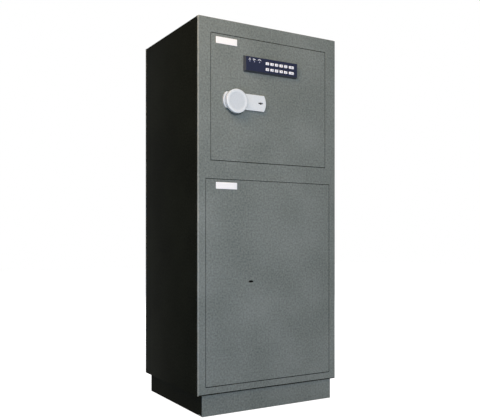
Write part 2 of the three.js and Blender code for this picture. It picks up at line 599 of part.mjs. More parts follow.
// Handle: plate, disc knob, square spindle, and the cam that throws the bolts
function buildHandle(group, axisX, axisZ) {
  const outline = new THREE.Shape();
  const rightSweep = Math.asin(PLATE_HEIGHT / 2 / PLATE_RIGHT_END_RADIUS);
  const leftSweep = Math.asin(PLATE_HEIGHT / 2 / PLATE_LEFT_END_RADIUS);
  const rightCentre = PLATE_RIGHT_REACH - PLATE_RIGHT_END_RADIUS;
  const leftCentre = PLATE_LEFT_END_RADIUS - PLATE_LEFT_REACH;
  outline.absarc(rightCentre, 0, PLATE_RIGHT_END_RADIUS, -rightSweep, rightSweep);
  outline.absarc(leftCentre, 0, PLATE_LEFT_END_RADIUS, Math.PI - leftSweep, Math.PI + leftSweep);
  const plateGeometry = new THREE.ExtrudeGeometry(outline, {
    depth: PLATE_THICKNESS - WELD_GAP - 2 * PLATE_ROUNDING,
    bevelThickness: PLATE_ROUNDING,
    bevelSize: PLATE_ROUNDING,
    bevelOffset: -PLATE_ROUNDING,
    bevelSegments: CORNER_STEPS,
    curveSegments: ARC_STEPS,
  });
  plateGeometry.rotateX(Math.PI / 2);
  plateGeometry.translate(0, -WELD_GAP - PLATE_ROUNDING, 0);
  const cutLength = PLATE_THICKNESS + 2 * OVERRUN;
  const spindleHole = rod('y', [0, OVERRUN - cutLength, -PLATE_RISE], cutLength, spindleSweep);
  const plate = solidOf(plateGeometry)
    .subtract(spindleHole)
    .subtract(keyhole(KEYHOLE_FROM_KNOB, 0, OVERRUN - cutLength, OVERRUN));
  place(group, 'handle_plate', plate, SATIN_CHROME, [axisX, -DOOR_THICKNESS, axisZ + PLATE_RISE]);

  const face = -knobStandoff;
  const rim = face + KNOB_THICKNESS;
  const neckFoot = -PLATE_THICKNESS - RUN_GAP;
  const profile = [
    [0, face],
    ...corner(KNOB_RADIUS - KNOB_ROUNDING, face + KNOB_ROUNDING, KNOB_ROUNDING, -Math.PI / 2),
    ...corner(KNOB_RADIUS - KNOB_ROUNDING, rim - KNOB_ROUNDING, KNOB_ROUNDING, 0),
    [NECK_RADIUS, rim],
    [NECK_RADIUS, neckFoot],
    [0, neckFoot],
  ];
  const socketSide = SPINDLE_SIDE / 2 + WELD_GAP;
  const socket = block(
    [-socketSide, neckFoot - SPINDLE_SOCKET, -socketSide],
    [socketSide, neckFoot + OVERRUN, socketSide],
  );
  const knob = turned(profile, KNOB_SIDES).subtract(socket);
  place(group, 'handle_knob', knob, SATIN_CHROME, [axisX, -DOOR_THICKNESS, axisZ]);

  const spindleFront = -DOOR_THICKNESS + neckFoot - SPINDLE_SOCKET + WELD_GAP;
  const half = SPINDLE_SIDE / 2;
  const spindle = block([-half, spindleFront, -half], [half, camBack + WELD_GAP, half]);
  place(group, 'handle_spindle', spindle, ZINC_STEEL, [axisX, 0, axisZ]);

  const crank = UPPER_THROW / (2 * Math.sin(HANDLE_TURN / 2));
  let cam = rod('y', [0, CAM_BEHIND_DOOR, 0], CAM_THICKNESS, CAM_RADIUS);
  const notchHalf = LOCK_BOLT_WIDTH / 2 + RUN_GAP;
  const notch = new THREE.BoxGeometry(NOTCH_DEPTH + OVERRUN, CAM_THICKNESS + 2 * OVERRUN, 2 * notchHalf);
  notch.translate(CAM_RADIUS - (NOTCH_DEPTH - OVERRUN) / 2, CAM_BEHIND_DOOR + CAM_THICKNESS / 2, 0);
  for (const angle of [0, HANDLE_TURN]) {
    cam = cam.subtract(solidOf(notch.clone().rotateY(angle)));
  }
  cam = cam.subtract(block([-socketSide, 0, -socketSide], [socketSide, camBack + OVERRUN, socketSide]));
  const pinStart = [crank * Math.sin(HANDLE_TURN / 2), CAM_BEHIND_DOOR, crank * Math.cos(HANDLE_TURN / 2)];
  cam = cam.add(rod('y', pinStart, drivePinEnd - CAM_BEHIND_DOOR, DRIVE_PIN_RADIUS));
  place(group, 'drive_cam', cam, ZINC_STEEL, [axisX, 0, axisZ]);
}

// Electronic lock: a case on the door's back, its blocking bolt, the key drum and the battery box
function buildElectronicLock(group, axisX, axisZ) {
  const left = axisX + UPPER_CASE_LEFT;
  const right = axisX + UPPER_CASE_RIGHT;
  const low = axisZ - UPPER_CASE_HALF_HEIGHT;
  const high = axisZ + UPPER_CASE_HALF_HEIGHT;
  const drumX = axisX + KEYHOLE_FROM_KNOB;
  const boltFront = CAM_BEHIND_DOOR + (CAM_THICKNESS - LOCK_BOLT_THICKNESS) / 2;
  const boltBack = boltFront + LOCK_BOLT_THICKNESS;
  const boltHalf = LOCK_BOLT_WIDTH / 2;
  const windowCut = block(
    [left - OVERRUN, boltFront - RUN_GAP, axisZ - boltHalf - RUN_GAP],
    [left + CASE_SHEET + OVERRUN, boltBack + RUN_GAP, axisZ + boltHalf + RUN_GAP],
  );
  const shell = openBox([left, WELD_GAP, low], [right, caseBack, high], CASE_SHEET).subtract(windowCut);
  place(group, 'electronic_lock_case', shell, ZINC_STEEL);

  const tip = axisX + CAM_RADIUS + LOCK_BOLT_CLEARANCE;
  const bolt = block(
    [tip, boltFront, axisZ - boltHalf],
    [tip + LOCK_BOLT_LENGTH, boltBack, axisZ + boltHalf],
  );
  place(group, 'electronic_lock_bolt', bolt, BRIGHT_STEEL);

  const lobeFront = DRUM_BEHIND_DOOR - DRUM_LOBE_THICKNESS;
  const lobe = block(
    [-DRUM_LOBE_WIDTH / 2, lobeFront, 0],
    [DRUM_LOBE_WIDTH / 2, DRUM_BEHIND_DOOR, DRUM_LOBE_REACH],
  );
  const drum = rod('y', [0, -DOOR_THICKNESS, 0], DOOR_THICKNESS + DRUM_BEHIND_DOOR, DRUM_RADIUS)
    .add(lobe)
    .subtract(keyhole(0, 0, -DOOR_THICKNESS - OVERRUN, DRUM_SLOT_DEPTH - DOOR_THICKNESS));
  place(group, 'emergency_key_drum', drum, BRIGHT_STEEL, [drumX, 0, axisZ + PLATE_RISE]);

  const boxBottom = high + BATTERY_BOX_RISE;
  const battery = block(
    [left, WELD_GAP, boxBottom],
    [left + BATTERY_BOX_WIDTH, BATTERY_BOX_DEPTH, boxBottom + BATTERY_BOX_HEIGHT],
  );
  place(group, 'battery_box', battery, BLACK_PLASTIC);
}

// Keypad housing: sloping sides, hollow behind, with a hole for each key
function buildKeypad(door) {
  const keypad = new THREE.Group();
  keypad.position.set(KEYPAD_LEFT, -DOOR_THICKNESS, KEYPAD_BOTTOM);
  door.add(keypad);

  const rows = [LOWER_ROW_FROM_BOTTOM + ROW_PITCH, LOWER_ROW_FROM_BOTTOM];
  const keys = rows.flatMap((z, row) => {
    const digits = Array.from({ length: KEY_COLUMNS }, (_, i) => ({
      name: `digit_key_${(row * KEY_COLUMNS + i + 1) % (2 * KEY_COLUMNS)}`,
      x: FIRST_KEY_FROM_LEFT + i * KEY_PITCH,
      z,
      width: KEY_WIDTH,
    }));
    const wide = { name: `function_key_${row + 1}`, x: WIDE_KEY_FROM_LEFT, z, width: WIDE_KEY_WIDTH };
    return [...digits, wide];
  });

  const foot = -WELD_GAP;
  const base = new THREE.Shape([
    new THREE.Vector2(0, 0),
    new THREE.Vector2(KEYPAD_WIDTH, 0),
    new THREE.Vector2(KEYPAD_WIDTH, KEYPAD_HEIGHT),
    new THREE.Vector2(0, KEYPAD_HEIGHT),
  ]);
  const slopedGeometry = new THREE.ExtrudeGeometry(base, {
    depth: KEYPAD_LIP,
    bevelThickness: KEYPAD_DEPTH - WELD_GAP - KEYPAD_LIP,
    bevelSize: KEYPAD_SLOPE,
    bevelOffset: -KEYPAD_SLOPE,
    bevelSegments: 1,
  });
  slopedGeometry.rotateX(Math.PI / 2);
  slopedGeometry.translate(0, foot, 0);
  const limits = block([0, -KEYPAD_DEPTH, 0], [KEYPAD_WIDTH, foot, KEYPAD_HEIGHT]);
  const rim = KEYPAD_WALL + KEYPAD_SLOPE;
  const faceBack = -KEYPAD_DEPTH + KEYPAD_WALL;
  let housing = solidOf(slopedGeometry).intersect(limits).subtract(block(
    [rim, faceBack, rim],
    [KEYPAD_WIDTH - rim, foot + OVERRUN, KEYPAD_HEIGHT - rim],
  ));
  for (const key of keys) {
    const halfWidth = key.width / 2 + WELD_GAP;
    const halfHeight = KEY_HEIGHT / 2 + WELD_GAP;
    housing = housing.subtract(block(
      [key.x - halfWidth, -KEYPAD_DEPTH - OVERRUN, key.z - halfHeight],
      [key.x + halfWidth, faceBack + OVERRUN, key.z + halfHeight],
    ));
  }
  place(keypad, 'keypad_housing', housing, KEYPAD_PLASTIC);

  const flangeFront = faceBack + WELD_GAP;
  const flangeBack = flangeFront + KEY_FLANGE_THICKNESS;
  for (const key of keys) {
    const half = key.width / 2;
    const cap = block(
      [-half, -KEYPAD_DEPTH - KEY_PROUD, -KEY_HEIGHT / 2],
      [half, flangeBack, KEY_HEIGHT / 2],
    );
    const flange = block(
      [-half - KEY_FLANGE, flangeFront, -KEY_HEIGHT / 2 - KEY_FLANGE],
      [half + KEY_FLANGE, flangeBack, KEY_HEIGHT / 2 + KEY_FLANGE],
    );
    place(keypad, key.name, cap.add(flange), WHITE_PLASTIC, [key.x, 0, key.z]);
  }

  const boardFront = flangeBack + KEY_TRAVEL + WELD_GAP;
  const boardEdge = rim + WELD_GAP;
  const board = block(
    [boardEdge, boardFront, boardEdge],
    [KEYPAD_WIDTH - boardEdge, boardFront + BOARD_THICKNESS, KEYPAD_HEIGHT - boardEdge],
  );
  place(keypad, 'keypad_board', board, BOARD_GREEN);
}

function buildUpperDoor() {
  const group = doorGroup(upper);
  const axisX = KNOB_FROM_EDGE;
  const axisZ = KNOB_FROM_BOTTOM;
  const cover = coverOf(upper, COVER_RIGHT_SHARE, UPPER_COVER_EDGE);
  const drive = {
    axisX,
    axisZ,
    throwLength: UPPER_THROW,
    turn: HANDLE_TURN,
    pinRadius: DRIVE_PIN_RADIUS,
    barBottom: cover.bottom + BAR_END,
    barTop: cover.top - BAR_END,
    shares: UPPER_BOLT_SHARES,
    cover,
  };
  const cutStart = -DOOR_THICKNESS - OVERRUN;
  const cutLength = DOOR_THICKNESS + 2 * OVERRUN;
  const cableX = KEYPAD_LEFT + CABLE_HOLE_FROM_LEFT;
  const cableZ = KEYPAD_BOTTOM + KEYPAD_HEIGHT / 2;
  buildDoorPanel(group, 'upper', upper, [
    rod('y', [axisX, cutStart, axisZ], cutLength, spindleSweep),
    rod('y', [axisX + KEYHOLE_FROM_KNOB, cutStart, axisZ + PLATE_RISE], cutLength, DRUM_RADIUS + RUN_GAP),
    rod('y', [cableX, cutStart, cableZ], cutLength, CABLE_HOLE_RADIUS),
  ]);
  buildHandle(group, axisX, axisZ);
  buildElectronicLock(group, axisX, axisZ);
  buildBoltBar(group, 'upper', drive);
  buildCover(group, 'upper', drive);
  buildDogBar(group, 'upper', upper, drive.barBottom, drive.barTop);
  buildLabel(group, 'upper', upper);
  buildKeypad(group);
}

// Key lock of the lower door: a case, and a drum whose crank pin drives the bolt bar
function buildKeyLock(group, axisX, axisZ) {
  const crank = LOWER_THROW / (2 * Math.sin(KEY_TURN / 2));
  const tongueRoom = crank + CRANK_PIN_RADIUS + TONGUE_EDGE;
  const windowCut = block(
    [axisX - LOWER_CASE_LEFT - OVERRUN, webFront - RUN_GAP, axisZ - OVERRUN],
    [axisX - LOWER_CASE_LEFT + CASE_SHEET + OVERRUN, webBack + RUN_GAP, axisZ + tongueRoom + TONGUE_EDGE],
  );
  const shell = openBox(
    [axisX - LOWER_CASE_LEFT, WELD_GAP, axisZ - LOWER_CASE_HALF_HEIGHT],
    [axisX + LOWER_CASE_RIGHT, caseBack, axisZ + LOWER_CASE_HALF_HEIGHT],
    CASE_SHEET,
  );
  place(group, 'lower_lock_case', shell.subtract(windowCut), ZINC_STEEL);

  const discFront = CAM_BEHIND_DOOR;
  const drumBack = discFront + CRANK_THICKNESS;
  const pinStart = [crank * Math.sin(KEY_TURN / 2), discFront, crank * Math.cos(KEY_TURN / 2)];
  const drum = rod('y', [0, RUN_GAP, 0], drumBack - RUN_GAP, DRUM_RADIUS)
    .add(rod('y', [0, discFront, 0], CRANK_THICKNESS, crank + CRANK_PIN_RADIUS + CRANK_EDGE))
    .add(rod('y', pinStart, drivePinEnd - discFront, CRANK_PIN_RADIUS))
    .subtract(keyhole(0, 0, -OVERRUN, drumBack + OVERRUN));
  place(group, 'lower_key_drum', drum, BRIGHT_STEEL, [axisX, 0, axisZ]);
}

function buildLowerDoor() {
  const group = doorGroup(lower);
  const axisX = LOWER_KEYHOLE_FROM_EDGE;
  const axisZ = LOWER_KEYHOLE_FROM_BOTTOM;
  const cover = coverOf(lower, COVER_RIGHT_SHARE, LOWER_COVER_EDGE);
  const drive = {
    axisX,
    axisZ,
    throwLength: LOWER_THROW,
    turn: KEY_TURN,
    pinRadius: CRANK_PIN_RADIUS,
    barBottom: cover.bottom + BAR_END,
    barTop: cover.top - BAR_END,
    shares: LOWER_BOLT_SHARES,
    cover,
  };
  buildDoorPanel(group, 'lower', lower, [keyhole(axisX, axisZ, -DOOR_THICKNESS - OVERRUN, OVERRUN)]);
  buildKeyLock(group, axisX, axisZ);
  buildBoltBar(group, 'lower', drive);
  buildCover(group, 'lower', drive);
  buildDogBar(group, 'lower', lower, drive.barBottom, drive.barTop);
  buildLabel(group, 'lower', lower);
}

buildFrontFrame();
buildPanels();
buildPlinth();
buildDepositHousing();
buildDepositDrawer();
buildUpperDoor();
buildLowerDoor();

export default safe;
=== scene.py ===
# %% [markdown]
# # A drop safe, dressed around its imported frame
# The frame is the rigid model of the safe: plates, doors, boltwork, drawer and keys, each in its place
# and on the body that it moves with. This lesson gives it the surfaces that a visitor sees: folded and
# painted sheet, a spun knob, moulded keys. Everything is in metres in the frame's own coordinates, so a
# piece goes where the frame says and nothing has to be fitted by eye.

# %% The frame, and a function for a node's box
import math

import bmesh
import bpy
import numpy as np
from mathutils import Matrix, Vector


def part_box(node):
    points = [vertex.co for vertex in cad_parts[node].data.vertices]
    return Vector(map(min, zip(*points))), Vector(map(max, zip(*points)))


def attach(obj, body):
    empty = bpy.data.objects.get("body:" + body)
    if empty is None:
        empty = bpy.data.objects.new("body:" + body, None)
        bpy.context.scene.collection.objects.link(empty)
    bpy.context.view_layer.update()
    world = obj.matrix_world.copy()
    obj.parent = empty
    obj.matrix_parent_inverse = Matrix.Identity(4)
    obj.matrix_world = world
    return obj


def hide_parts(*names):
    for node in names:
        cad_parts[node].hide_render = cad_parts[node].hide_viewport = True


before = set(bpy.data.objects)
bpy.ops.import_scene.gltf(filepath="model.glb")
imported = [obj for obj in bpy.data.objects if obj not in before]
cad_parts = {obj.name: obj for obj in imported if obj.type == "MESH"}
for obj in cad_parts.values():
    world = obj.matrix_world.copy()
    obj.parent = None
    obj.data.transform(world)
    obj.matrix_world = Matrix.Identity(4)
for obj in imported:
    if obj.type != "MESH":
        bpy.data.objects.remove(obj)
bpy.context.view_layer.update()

MM = 0.001


# %% [markdown]
# ## Reading places from the frame
# Shapes here are worked out in millimetres, the unit on a sheet-metal drawing. The frame gives each
# node's lowest and highest corner, so a screw or a sign is placed from the piece that carries it.

# %% Corners of a node in millimetres
def corners(node):
    """Lowest and highest corner of a frame node at rest, in millimetres."""
    low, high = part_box(node)
    return np.array(low) / MM, np.array(high) / MM


keypad_low, keypad_high = corners("keypad_housing")
print("keypad:", np.round(keypad_high - keypad_low, 1), "mm")


# %% [markdown]
# ## Colours and nodes
# A paint chip is written as an sRGB hex value, but shaders add up light in linear values, so one
# function turns the first into the second. A second function adds a node, sets it and wires it. Most
# finishes vary in the same three ways, in tone, gloss and relief, so one more function takes a texture
# to all three.

# %% Functions for colours, nodes, a new material and a texture's work
def linear(chip):
    """sRGB hex to linear RGBA: c / 12.92 below 0.04045, else ((c + 0.055) / 1.055) ** 2.4."""
    levels = np.array([int(chip[i:i + 2], 16) for i in (1, 3, 5)]) / 255
    values = np.where(levels <= 0.04045, levels / 12.92, ((levels + 0.055) / 1.055) ** 2.4)
    return (*values.tolist(), 1.0)


def add(tree, kind, inputs=None, **settings):
    """A node with its settings. An input is given as a number, a colour, or the socket that feeds it."""
    node = tree.nodes.new(kind)
    for name, value in settings.items():
        setattr(node, name, value)
    for socket, value in (inputs or {}).items():
        if isinstance(value, bpy.types.NodeSocket):
            tree.links.new(value, node.inputs[socket])
        else:
            node.inputs[socket].default_value = value
    return node


def begin(name, **constants):
    """A new material whose Principled shader has these constants. Returns it, its tree and the shader."""
    made = bpy.data.materials.new(name)
    made.use_nodes = True
    tree = made.node_tree
    tree.nodes.clear()
    shader = add(tree, "ShaderNodeBsdfPrincipled",
                 {socket.replace("_", " "): value for socket, value in constants.items()})
    add(tree, "ShaderNodeOutputMaterial", {"Surface": shader.outputs[0]})
    return made, tree, shader


def scale_of(size):
    """The texture scale at which a pattern's features are this many millimetres across."""
    return 1 / (size * MM)


NOISE_SPAN = (0.3, 0.7)


def vary(tree, shader, value, chips, roughness=None, relief=None, span=NOISE_SPAN):
    """Lets a texture value vary a surface. Over its span, the part where it mostly lies, it moves the
    tone from one chip to the other and the roughness between its two levels. The relief is a height,
    a strength and a depth in mm. Returns the tone, and the value stretched to 0..1."""
    reach = {"Value": value, "From Min": span[0], "From Max": span[1]}
    share = add(tree, "ShaderNodeMapRange", reach).outputs["Result"]
    tone = add(tree, "ShaderNodeMix", {0: share, 6: linear(chips[0]), 7: linear(chips[1])},
               data_type="RGBA").outputs[2]
    tree.links.new(tone, shader.inputs["Base Color"])
    if roughness:
        rough = add(tree, "ShaderNodeMapRange", {**reach, "To Min": roughness[0], "To Max": roughness[1]})
        tree.links.new(rough.outputs["Result"], shader.inputs["Roughness"])
    if relief:
        height, strength, depth = relief
        skin = add(tree, "ShaderNodeBump", {"Height": height, "Strength": strength,
                                            "Distance": depth * MM})
        tree.links.new(skin.outputs[0], shader.inputs["Normal"])
    return tone, share


print("white chip:", linear("#ffffff"), "mid grey chip:", round(linear("#808080")[0], 3))


# %% [markdown]
# ## Powder coat
# Safes are sprayed with polyester powder and baked. The texture powder flows into small rounded
# grains, which hide dents and fingerprints. The eye sees a satin skin whose tone wanders a little from
# grain to grain and over the 140 mm of a spray pass. The real grain is about 1 mm across. It is drawn
# here at 5 mm in the colour, because a finer one would vanish in the picture, and at 1 mm in the bump.
# On the upright roundings between front and sides, a paler coat of its own stands for a painted highlight.

# %% Textured powder coat in mid grey, near black and the light grey of the inside
GRAIN, FINE_GRAIN, CLOUD = 5.0, 1.0, 140.0
CLOUD_SHARE = 0.35
SKIN_STRENGTH, SKIN_DEPTH = 0.25, 0.15


def powder_coat(name, chips, roughness, specular):
    """Texture powder: grains of tone, wide spray clouds and a fine bump, all sizes in mm."""
    paint, tree, shader = begin(name, Roughness=roughness, Specular_IOR_Level=specular)
    place = add(tree, "ShaderNodeTexCoord").outputs["Object"]
    parts = []
    for size in (GRAIN, CLOUD):
        noise = add(tree, "ShaderNodeTexNoise", {"Vector": place, "Scale": scale_of(size), "Detail": 2.0})
        parts.append(add(tree, "ShaderNodeMapRange", {"Value": noise.outputs[0], "From Min": NOISE_SPAN[0],
                                                      "From Max": NOISE_SPAN[1]}).outputs["Result"])
    both = add(tree, "ShaderNodeMix", {0: CLOUD_SHARE, 2: parts[0], 3: parts[1]}).outputs[0]
    fine = add(tree, "ShaderNodeTexNoise", {"Vector": place, "Scale": scale_of(FINE_GRAIN), "Detail": 1.0})
    vary(tree, shader, both, chips, relief=(fine.outputs[0], SKIN_STRENGTH, SKIN_DEPTH),
         span=(0, 1))
    return paint


front_paint = powder_coat("mid_grey_texture_powder_coat", ("#5d6562", "#878e8c"), 0.6, 0.25)
# The paler coat is a painted highlight, put on the roundings between front and sides.
edge_highlight_paint = powder_coat("pale_grey_coat_as_painted_highlight_on_edges", ("#757a75", "#969a95"), 0.55, 0.3)
side_paint = powder_coat("near_black_texture_powder_coat", ("#050604", "#1b1d17"), 0.75, 0.02)
inner_paint = powder_coat("light_grey_texture_powder_coat", ("#8d938f", "#aab0ab"), 0.6, 0.25)
print("paints:", front_paint.name, edge_highlight_paint.name, side_paint.name, inner_paint.name)


# %% [markdown]
# ## Metals
# Three metals show: the satin silver of the die-cast handle, zinc plate on folded brackets and bars,
# and turned steel, bright on the bolts and near black on lock drums and hinge pins, a near black that
# is painted shade. A metal keeps the default IOR and gets its look from its colour, its roughness and
# the marks of how it was made: blasting, crystal spangle, or tool rings.

# %% Satin die-cast, zinc plate and turned steel
BLAST_GRAIN, CRYSTAL, RING_PITCH = 1.2, 7.0, 1.0
BRIGHT = ("#c6c9cc", "#d6d9dc")
# Near-black steel is painted shade: it keeps keyholes and the door gap dark.
SHADE_DARK_CHIPS = ("#101112", "#1b1c1d")


def satin_die_cast(name, chips):
    """Zinc die casting, blasted and lacquered silver: flakes of metal in a clear binder, so it is
    half metal and half paint, with an even, cloudy sheen that still shows shadows."""
    metal, tree, shader = begin(name, Metallic=0.45)
    place = add(tree, "ShaderNodeTexCoord").outputs["Object"]
    blast = add(tree, "ShaderNodeTexNoise", {"Vector": place, "Scale": scale_of(BLAST_GRAIN),
                                             "Detail": 3.0}).outputs[0]
    vary(tree, shader, blast, chips, roughness=(0.34, 0.44), relief=(blast, 0.15, 0.05))
    return metal


def zinc_plate(name):
    """Zinc on steel sheet: flat crystals about 7 mm across that differ a little in tone and gloss."""
    metal, tree, shader = begin(name, Metallic=1.0)
    place = add(tree, "ShaderNodeTexCoord").outputs["Object"]
    crystals = add(tree, "ShaderNodeTexVoronoi", {"Vector": place, "Scale": scale_of(CRYSTAL)})
    tone = add(tree, "ShaderNodeSeparateColor", {0: crystals.outputs["Color"]}).outputs[0]
    vary(tree, shader, tone, ("#a7acb0", "#bcc1c4"), roughness=(0.34, 0.5), span=(0, 1))
    return metal


def turned_steel(name, centre, axis, chips=BRIGHT):
    """Steel off the lathe, bright, or near black as painted shade. The tool leaves rings: tone = sin(2 pi (r
    + a) / pitch), with r the distance from the axis and a the distance along it. The real pitch is 0.2 mm,
      drawn at
    1 mm."""
    metal, tree, shader = begin(name, Metallic=1.0)
    place = add(tree, "ShaderNodeTexCoord").outputs["Object"]
    local = add(tree, "ShaderNodeVectorMath", {0: place, 1: tuple(np.array(centre) * MM)},
                operation="SUBTRACT").outputs[0]
    along = add(tree, "ShaderNodeVectorMath", {0: local, 1: tuple(axis)}, operation="DOT_PRODUCT")
    across = add(tree, "ShaderNodeVectorMath", {0: local, 1: tuple(1.0 - abs(part) for part in axis)},
                 operation="MULTIPLY")
    radius = add(tree, "ShaderNodeVectorMath", {0: across.outputs[0]}, operation="LENGTH")
    travel = add(tree, "ShaderNodeMath", {0: along.outputs["Value"], 1: radius.outputs["Value"]},
                 operation="ADD")
    turns = add(tree, "ShaderNodeMath", {0: travel.outputs[0], 1: 2 * math.pi * scale_of(RING_PITCH)},
                operation="MULTIPLY")
    ring = add(tree, "ShaderNodeMath", {0: turns.outputs[0]}, operation="SINE").outputs[0]
    vary(tree, shader, ring, chips, roughness=(0.22, 0.32), span=(-1, 1))
    return metal


handle_metal = satin_die_cast("satin_silver_die_cast_zinc", ("#d3d9df", "#e2e7eb"))
# The darker dish leaves the rim as a pale ring, a painted highlight.
darkened_dish_metal = satin_die_cast("silver_die_cast_dish_darkened_for_painted_rim_highlight", ("#c6cdd4", "#d4dae0"))
zinc_steel = zinc_plate("zinc_plated_steel_sheet")
print("metals:", handle_metal.name, zinc_steel.name)


# %% [markdown]
# ## Plastics, ink and board
# The keypad is moulded ABS with a fine spark-eroded texture, the keys are smoother, and the signs are
# screen printed. Moulded plastic has one colour all through, so what varies is its gloss: the texture
# breaks the reflection up. A circuit board is green lacquer over copper tracks.

# %% Moulded plastics, printed ink, smoked lenses and the board
SPARK_TEXTURE, TEXTURE_DEPTH = 0.8, 0.04
ROUGHNESS_PLAY = 0.05
PRINT_DEPTH = 0.3
PRINT_INSETS = (3.6, 1.2, 1.6, 1.2)
TRACK_PITCH, TRACK_LENGTH, TRACK_WIDTH = 1.3, 9.0, 0.25


def moulded(name, chips, roughness, texture=SPARK_TEXTURE, **constants):
    """Moulded plastic: a fine texture (its size in mm) that moves tone and roughness a little."""
    plastic, tree, shader = begin(name, **constants)
    place = add(tree, "ShaderNodeTexCoord").outputs["Object"]
    grain = add(tree, "ShaderNodeTexNoise", {"Vector": place, "Scale": scale_of(texture),
                                             "Detail": 2.0}).outputs[0]
    vary(tree, shader, grain, chips, roughness=(roughness - ROUGHNESS_PLAY, roughness + ROUGHNESS_PLAY),
         relief=(grain, 0.3, TEXTURE_DEPTH))
    return plastic


def keypad_shell(name, low, high, insets):
    """Charcoal moulding with a navy printed field on its face. The field is a box: a point lies in it
    where the largest part of |p - middle| - half is below zero. The insets are left, right, below and
    above, in mm."""
    left, right, below, above = insets
    start = np.array([low[0] + left, low[1] - PRINT_DEPTH, low[2] + below])
    stop = np.array([high[0] - right, low[1] + PRINT_DEPTH, high[2] - above])
    shell, tree, shader = begin(name, Specular_IOR_Level=0.2)
    place = add(tree, "ShaderNodeTexCoord").outputs["Object"]
    offset = add(tree, "ShaderNodeVectorMath", {0: place, 1: tuple((start + stop) / 2 * MM)},
                 operation="SUBTRACT").outputs[0]
    size = add(tree, "ShaderNodeVectorMath", {0: offset}, operation="ABSOLUTE").outputs[0]
    outside = add(tree, "ShaderNodeVectorMath", {0: size, 1: tuple((stop - start) / 2 * MM)},
                  operation="SUBTRACT").outputs[0]
    parts = add(tree, "ShaderNodeSeparateXYZ", {0: outside}).outputs
    flat = add(tree, "ShaderNodeMath", {0: parts[0], 1: parts[2]}, operation="MAXIMUM").outputs[0]
    deep = add(tree, "ShaderNodeMath", {0: flat, 1: parts[1]}, operation="MAXIMUM").outputs[0]
    printed = add(tree, "ShaderNodeMath", {0: deep, 1: 0.0}, operation="LESS_THAN").outputs[0]
    grain = add(tree, "ShaderNodeTexNoise", {"Vector": place, "Scale": scale_of(SPARK_TEXTURE),
                                             "Detail": 2.0}).outputs[0]
    bare, share = vary(tree, shader, grain, ("#3a3e43", "#474b51"), roughness=(0.45, 0.55),
                       relief=(grain, 0.3, TEXTURE_DEPTH))
    navy = add(tree, "ShaderNodeMix", {0: share, 6: linear("#1d2236"), 7: linear("#262c44")},
               data_type="RGBA")
    colour = add(tree, "ShaderNodeMix", {0: printed, 6: bare, 7: navy.outputs[2]}, data_type="RGBA")
    tree.links.new(colour.outputs[2], shader.inputs["Base Color"])
    return shell


def board_lacquer(name):
    """Green lacquer with the paler lines of copper tracks under it."""
    board, tree, shader = begin(name, Roughness=0.35)
    place = add(tree, "ShaderNodeTexCoord").outputs["Object"]
    upright = add(tree, "ShaderNodeMapping", {"Vector": place, "Rotation": (math.pi / 2, 0, 0)})
    tracks = add(tree, "ShaderNodeTexBrick",
                 {"Vector": upright.outputs[0], "Scale": 1.0, "Color1": linear("#1d5433"),
                  "Color2": linear("#20603a"), "Mortar": linear("#3f8a58"),
                  "Mortar Size": TRACK_WIDTH * MM, "Brick Width": TRACK_LENGTH * MM,
                  "Row Height": TRACK_PITCH * MM})
    tree.links.new(tracks.outputs["Color"], shader.inputs["Base Color"])
    return board


keypad_plastic = keypad_shell("charcoal_abs_with_navy_print", keypad_low, keypad_high, PRINT_INSETS)
key_plastic = moulded("white_abs_key", ("#eef0f8", "#f6f7fd"), 0.4)
label_plastic = moulded("white_engraving_plastic", ("#f5f6f8", "#fbfcfd"), 0.3, texture=2)
black_plastic = moulded("black_abs_moulding", ("#17181a", "#202124"), 0.5)
dark_ink = moulded("navy_screen_print_ink", ("#343a52", "#40465e"), 0.5)
white_ink = moulded("white_screen_print_ink", ("#dfe3ee", "#eceff6"), 0.5)
lens_plastic = moulded("smoked_lamp_lens", ("#8e94b4", "#a0a6c4"), 0.15, Coat_Weight=0.5)
board_green = board_lacquer("green_board_lacquer")
print("plastics and inks:", len([m for m in bpy.data.materials if "ink" in m.name or "abs" in m.name]))


# %% [markdown]
# ## Surfaces from numpy
# Every new piece is a grid of points: one direction goes round the piece, the other goes along it. The
# whole grid is worked out as arrays, then one function joins neighbouring points to four-sided faces.
# Rows that shrink to a point close the ends. This is quicker and more exact than modelling by hand,
# and the formula is the drawing.

# %% Points to meshes
MERGE_DISTANCE = 0.002


def mesh_of(name, shells):
    """One mesh from shells, each an array [row, column, xyz] in mm whose columns close on themselves."""
    points, faces, start = [], [], 0
    for shell in shells:
        rows, columns = shell.shape[:2]
        index = start + np.arange(rows * columns).reshape(rows, columns)
        index = np.hstack([index, index[:, :1]])
        quads = np.stack([index[:-1, :-1], index[:-1, 1:], index[1:, 1:], index[1:, :-1]], axis=-1)
        points.append(shell.reshape(-1, 3) * MM)
        faces.append(quads.reshape(-1, 4))
        start += rows * columns
    mesh = bpy.data.meshes.new(name)
    mesh.from_pydata(np.vstack(points).tolist(), [], np.vstack(faces).tolist())
    work = bmesh.new()
    work.from_mesh(mesh)
    bmesh.ops.remove_doubles(work, verts=work.verts, dist=MERGE_DISTANCE * MM)
    bmesh.ops.recalc_face_normals(work, faces=work.faces)
    work.to_mesh(mesh)
    work.free()
    return mesh


def finish_piece(name, mesh, material, body, replaced=(), smooth_angle=35):
    """The mesh as an object at the origin, shaded, on its body, and standing for what it replaces."""
    mesh.polygons.foreach_set("use_smooth", np.ones(len(mesh.polygons), dtype=bool))
    mesh.set_sharp_from_angle(angle=math.radians(smooth_angle))
    mesh.materials.clear()
    mesh.materials.append(material)
    piece = bpy.data.objects.new(name, mesh)
    bpy.context.scene.collection.objects.link(piece)
    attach(piece, body)
    if replaced:
        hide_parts(*replaced)
    return piece


def finish_node(node, material):
    """The frame's own node keeps its shape and takes this finish."""
    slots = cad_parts[node].data.materials
    slots.clear()
    slots.append(material)


def capped(shell):
    """The shell with one more row at each end, which shrinks to the middle of that end."""
    first, last = (np.repeat(shell[row].mean(axis=0)[None, None], shell.shape[1], 1) for row in (0, -1))
    return np.concatenate([first, shell, last])


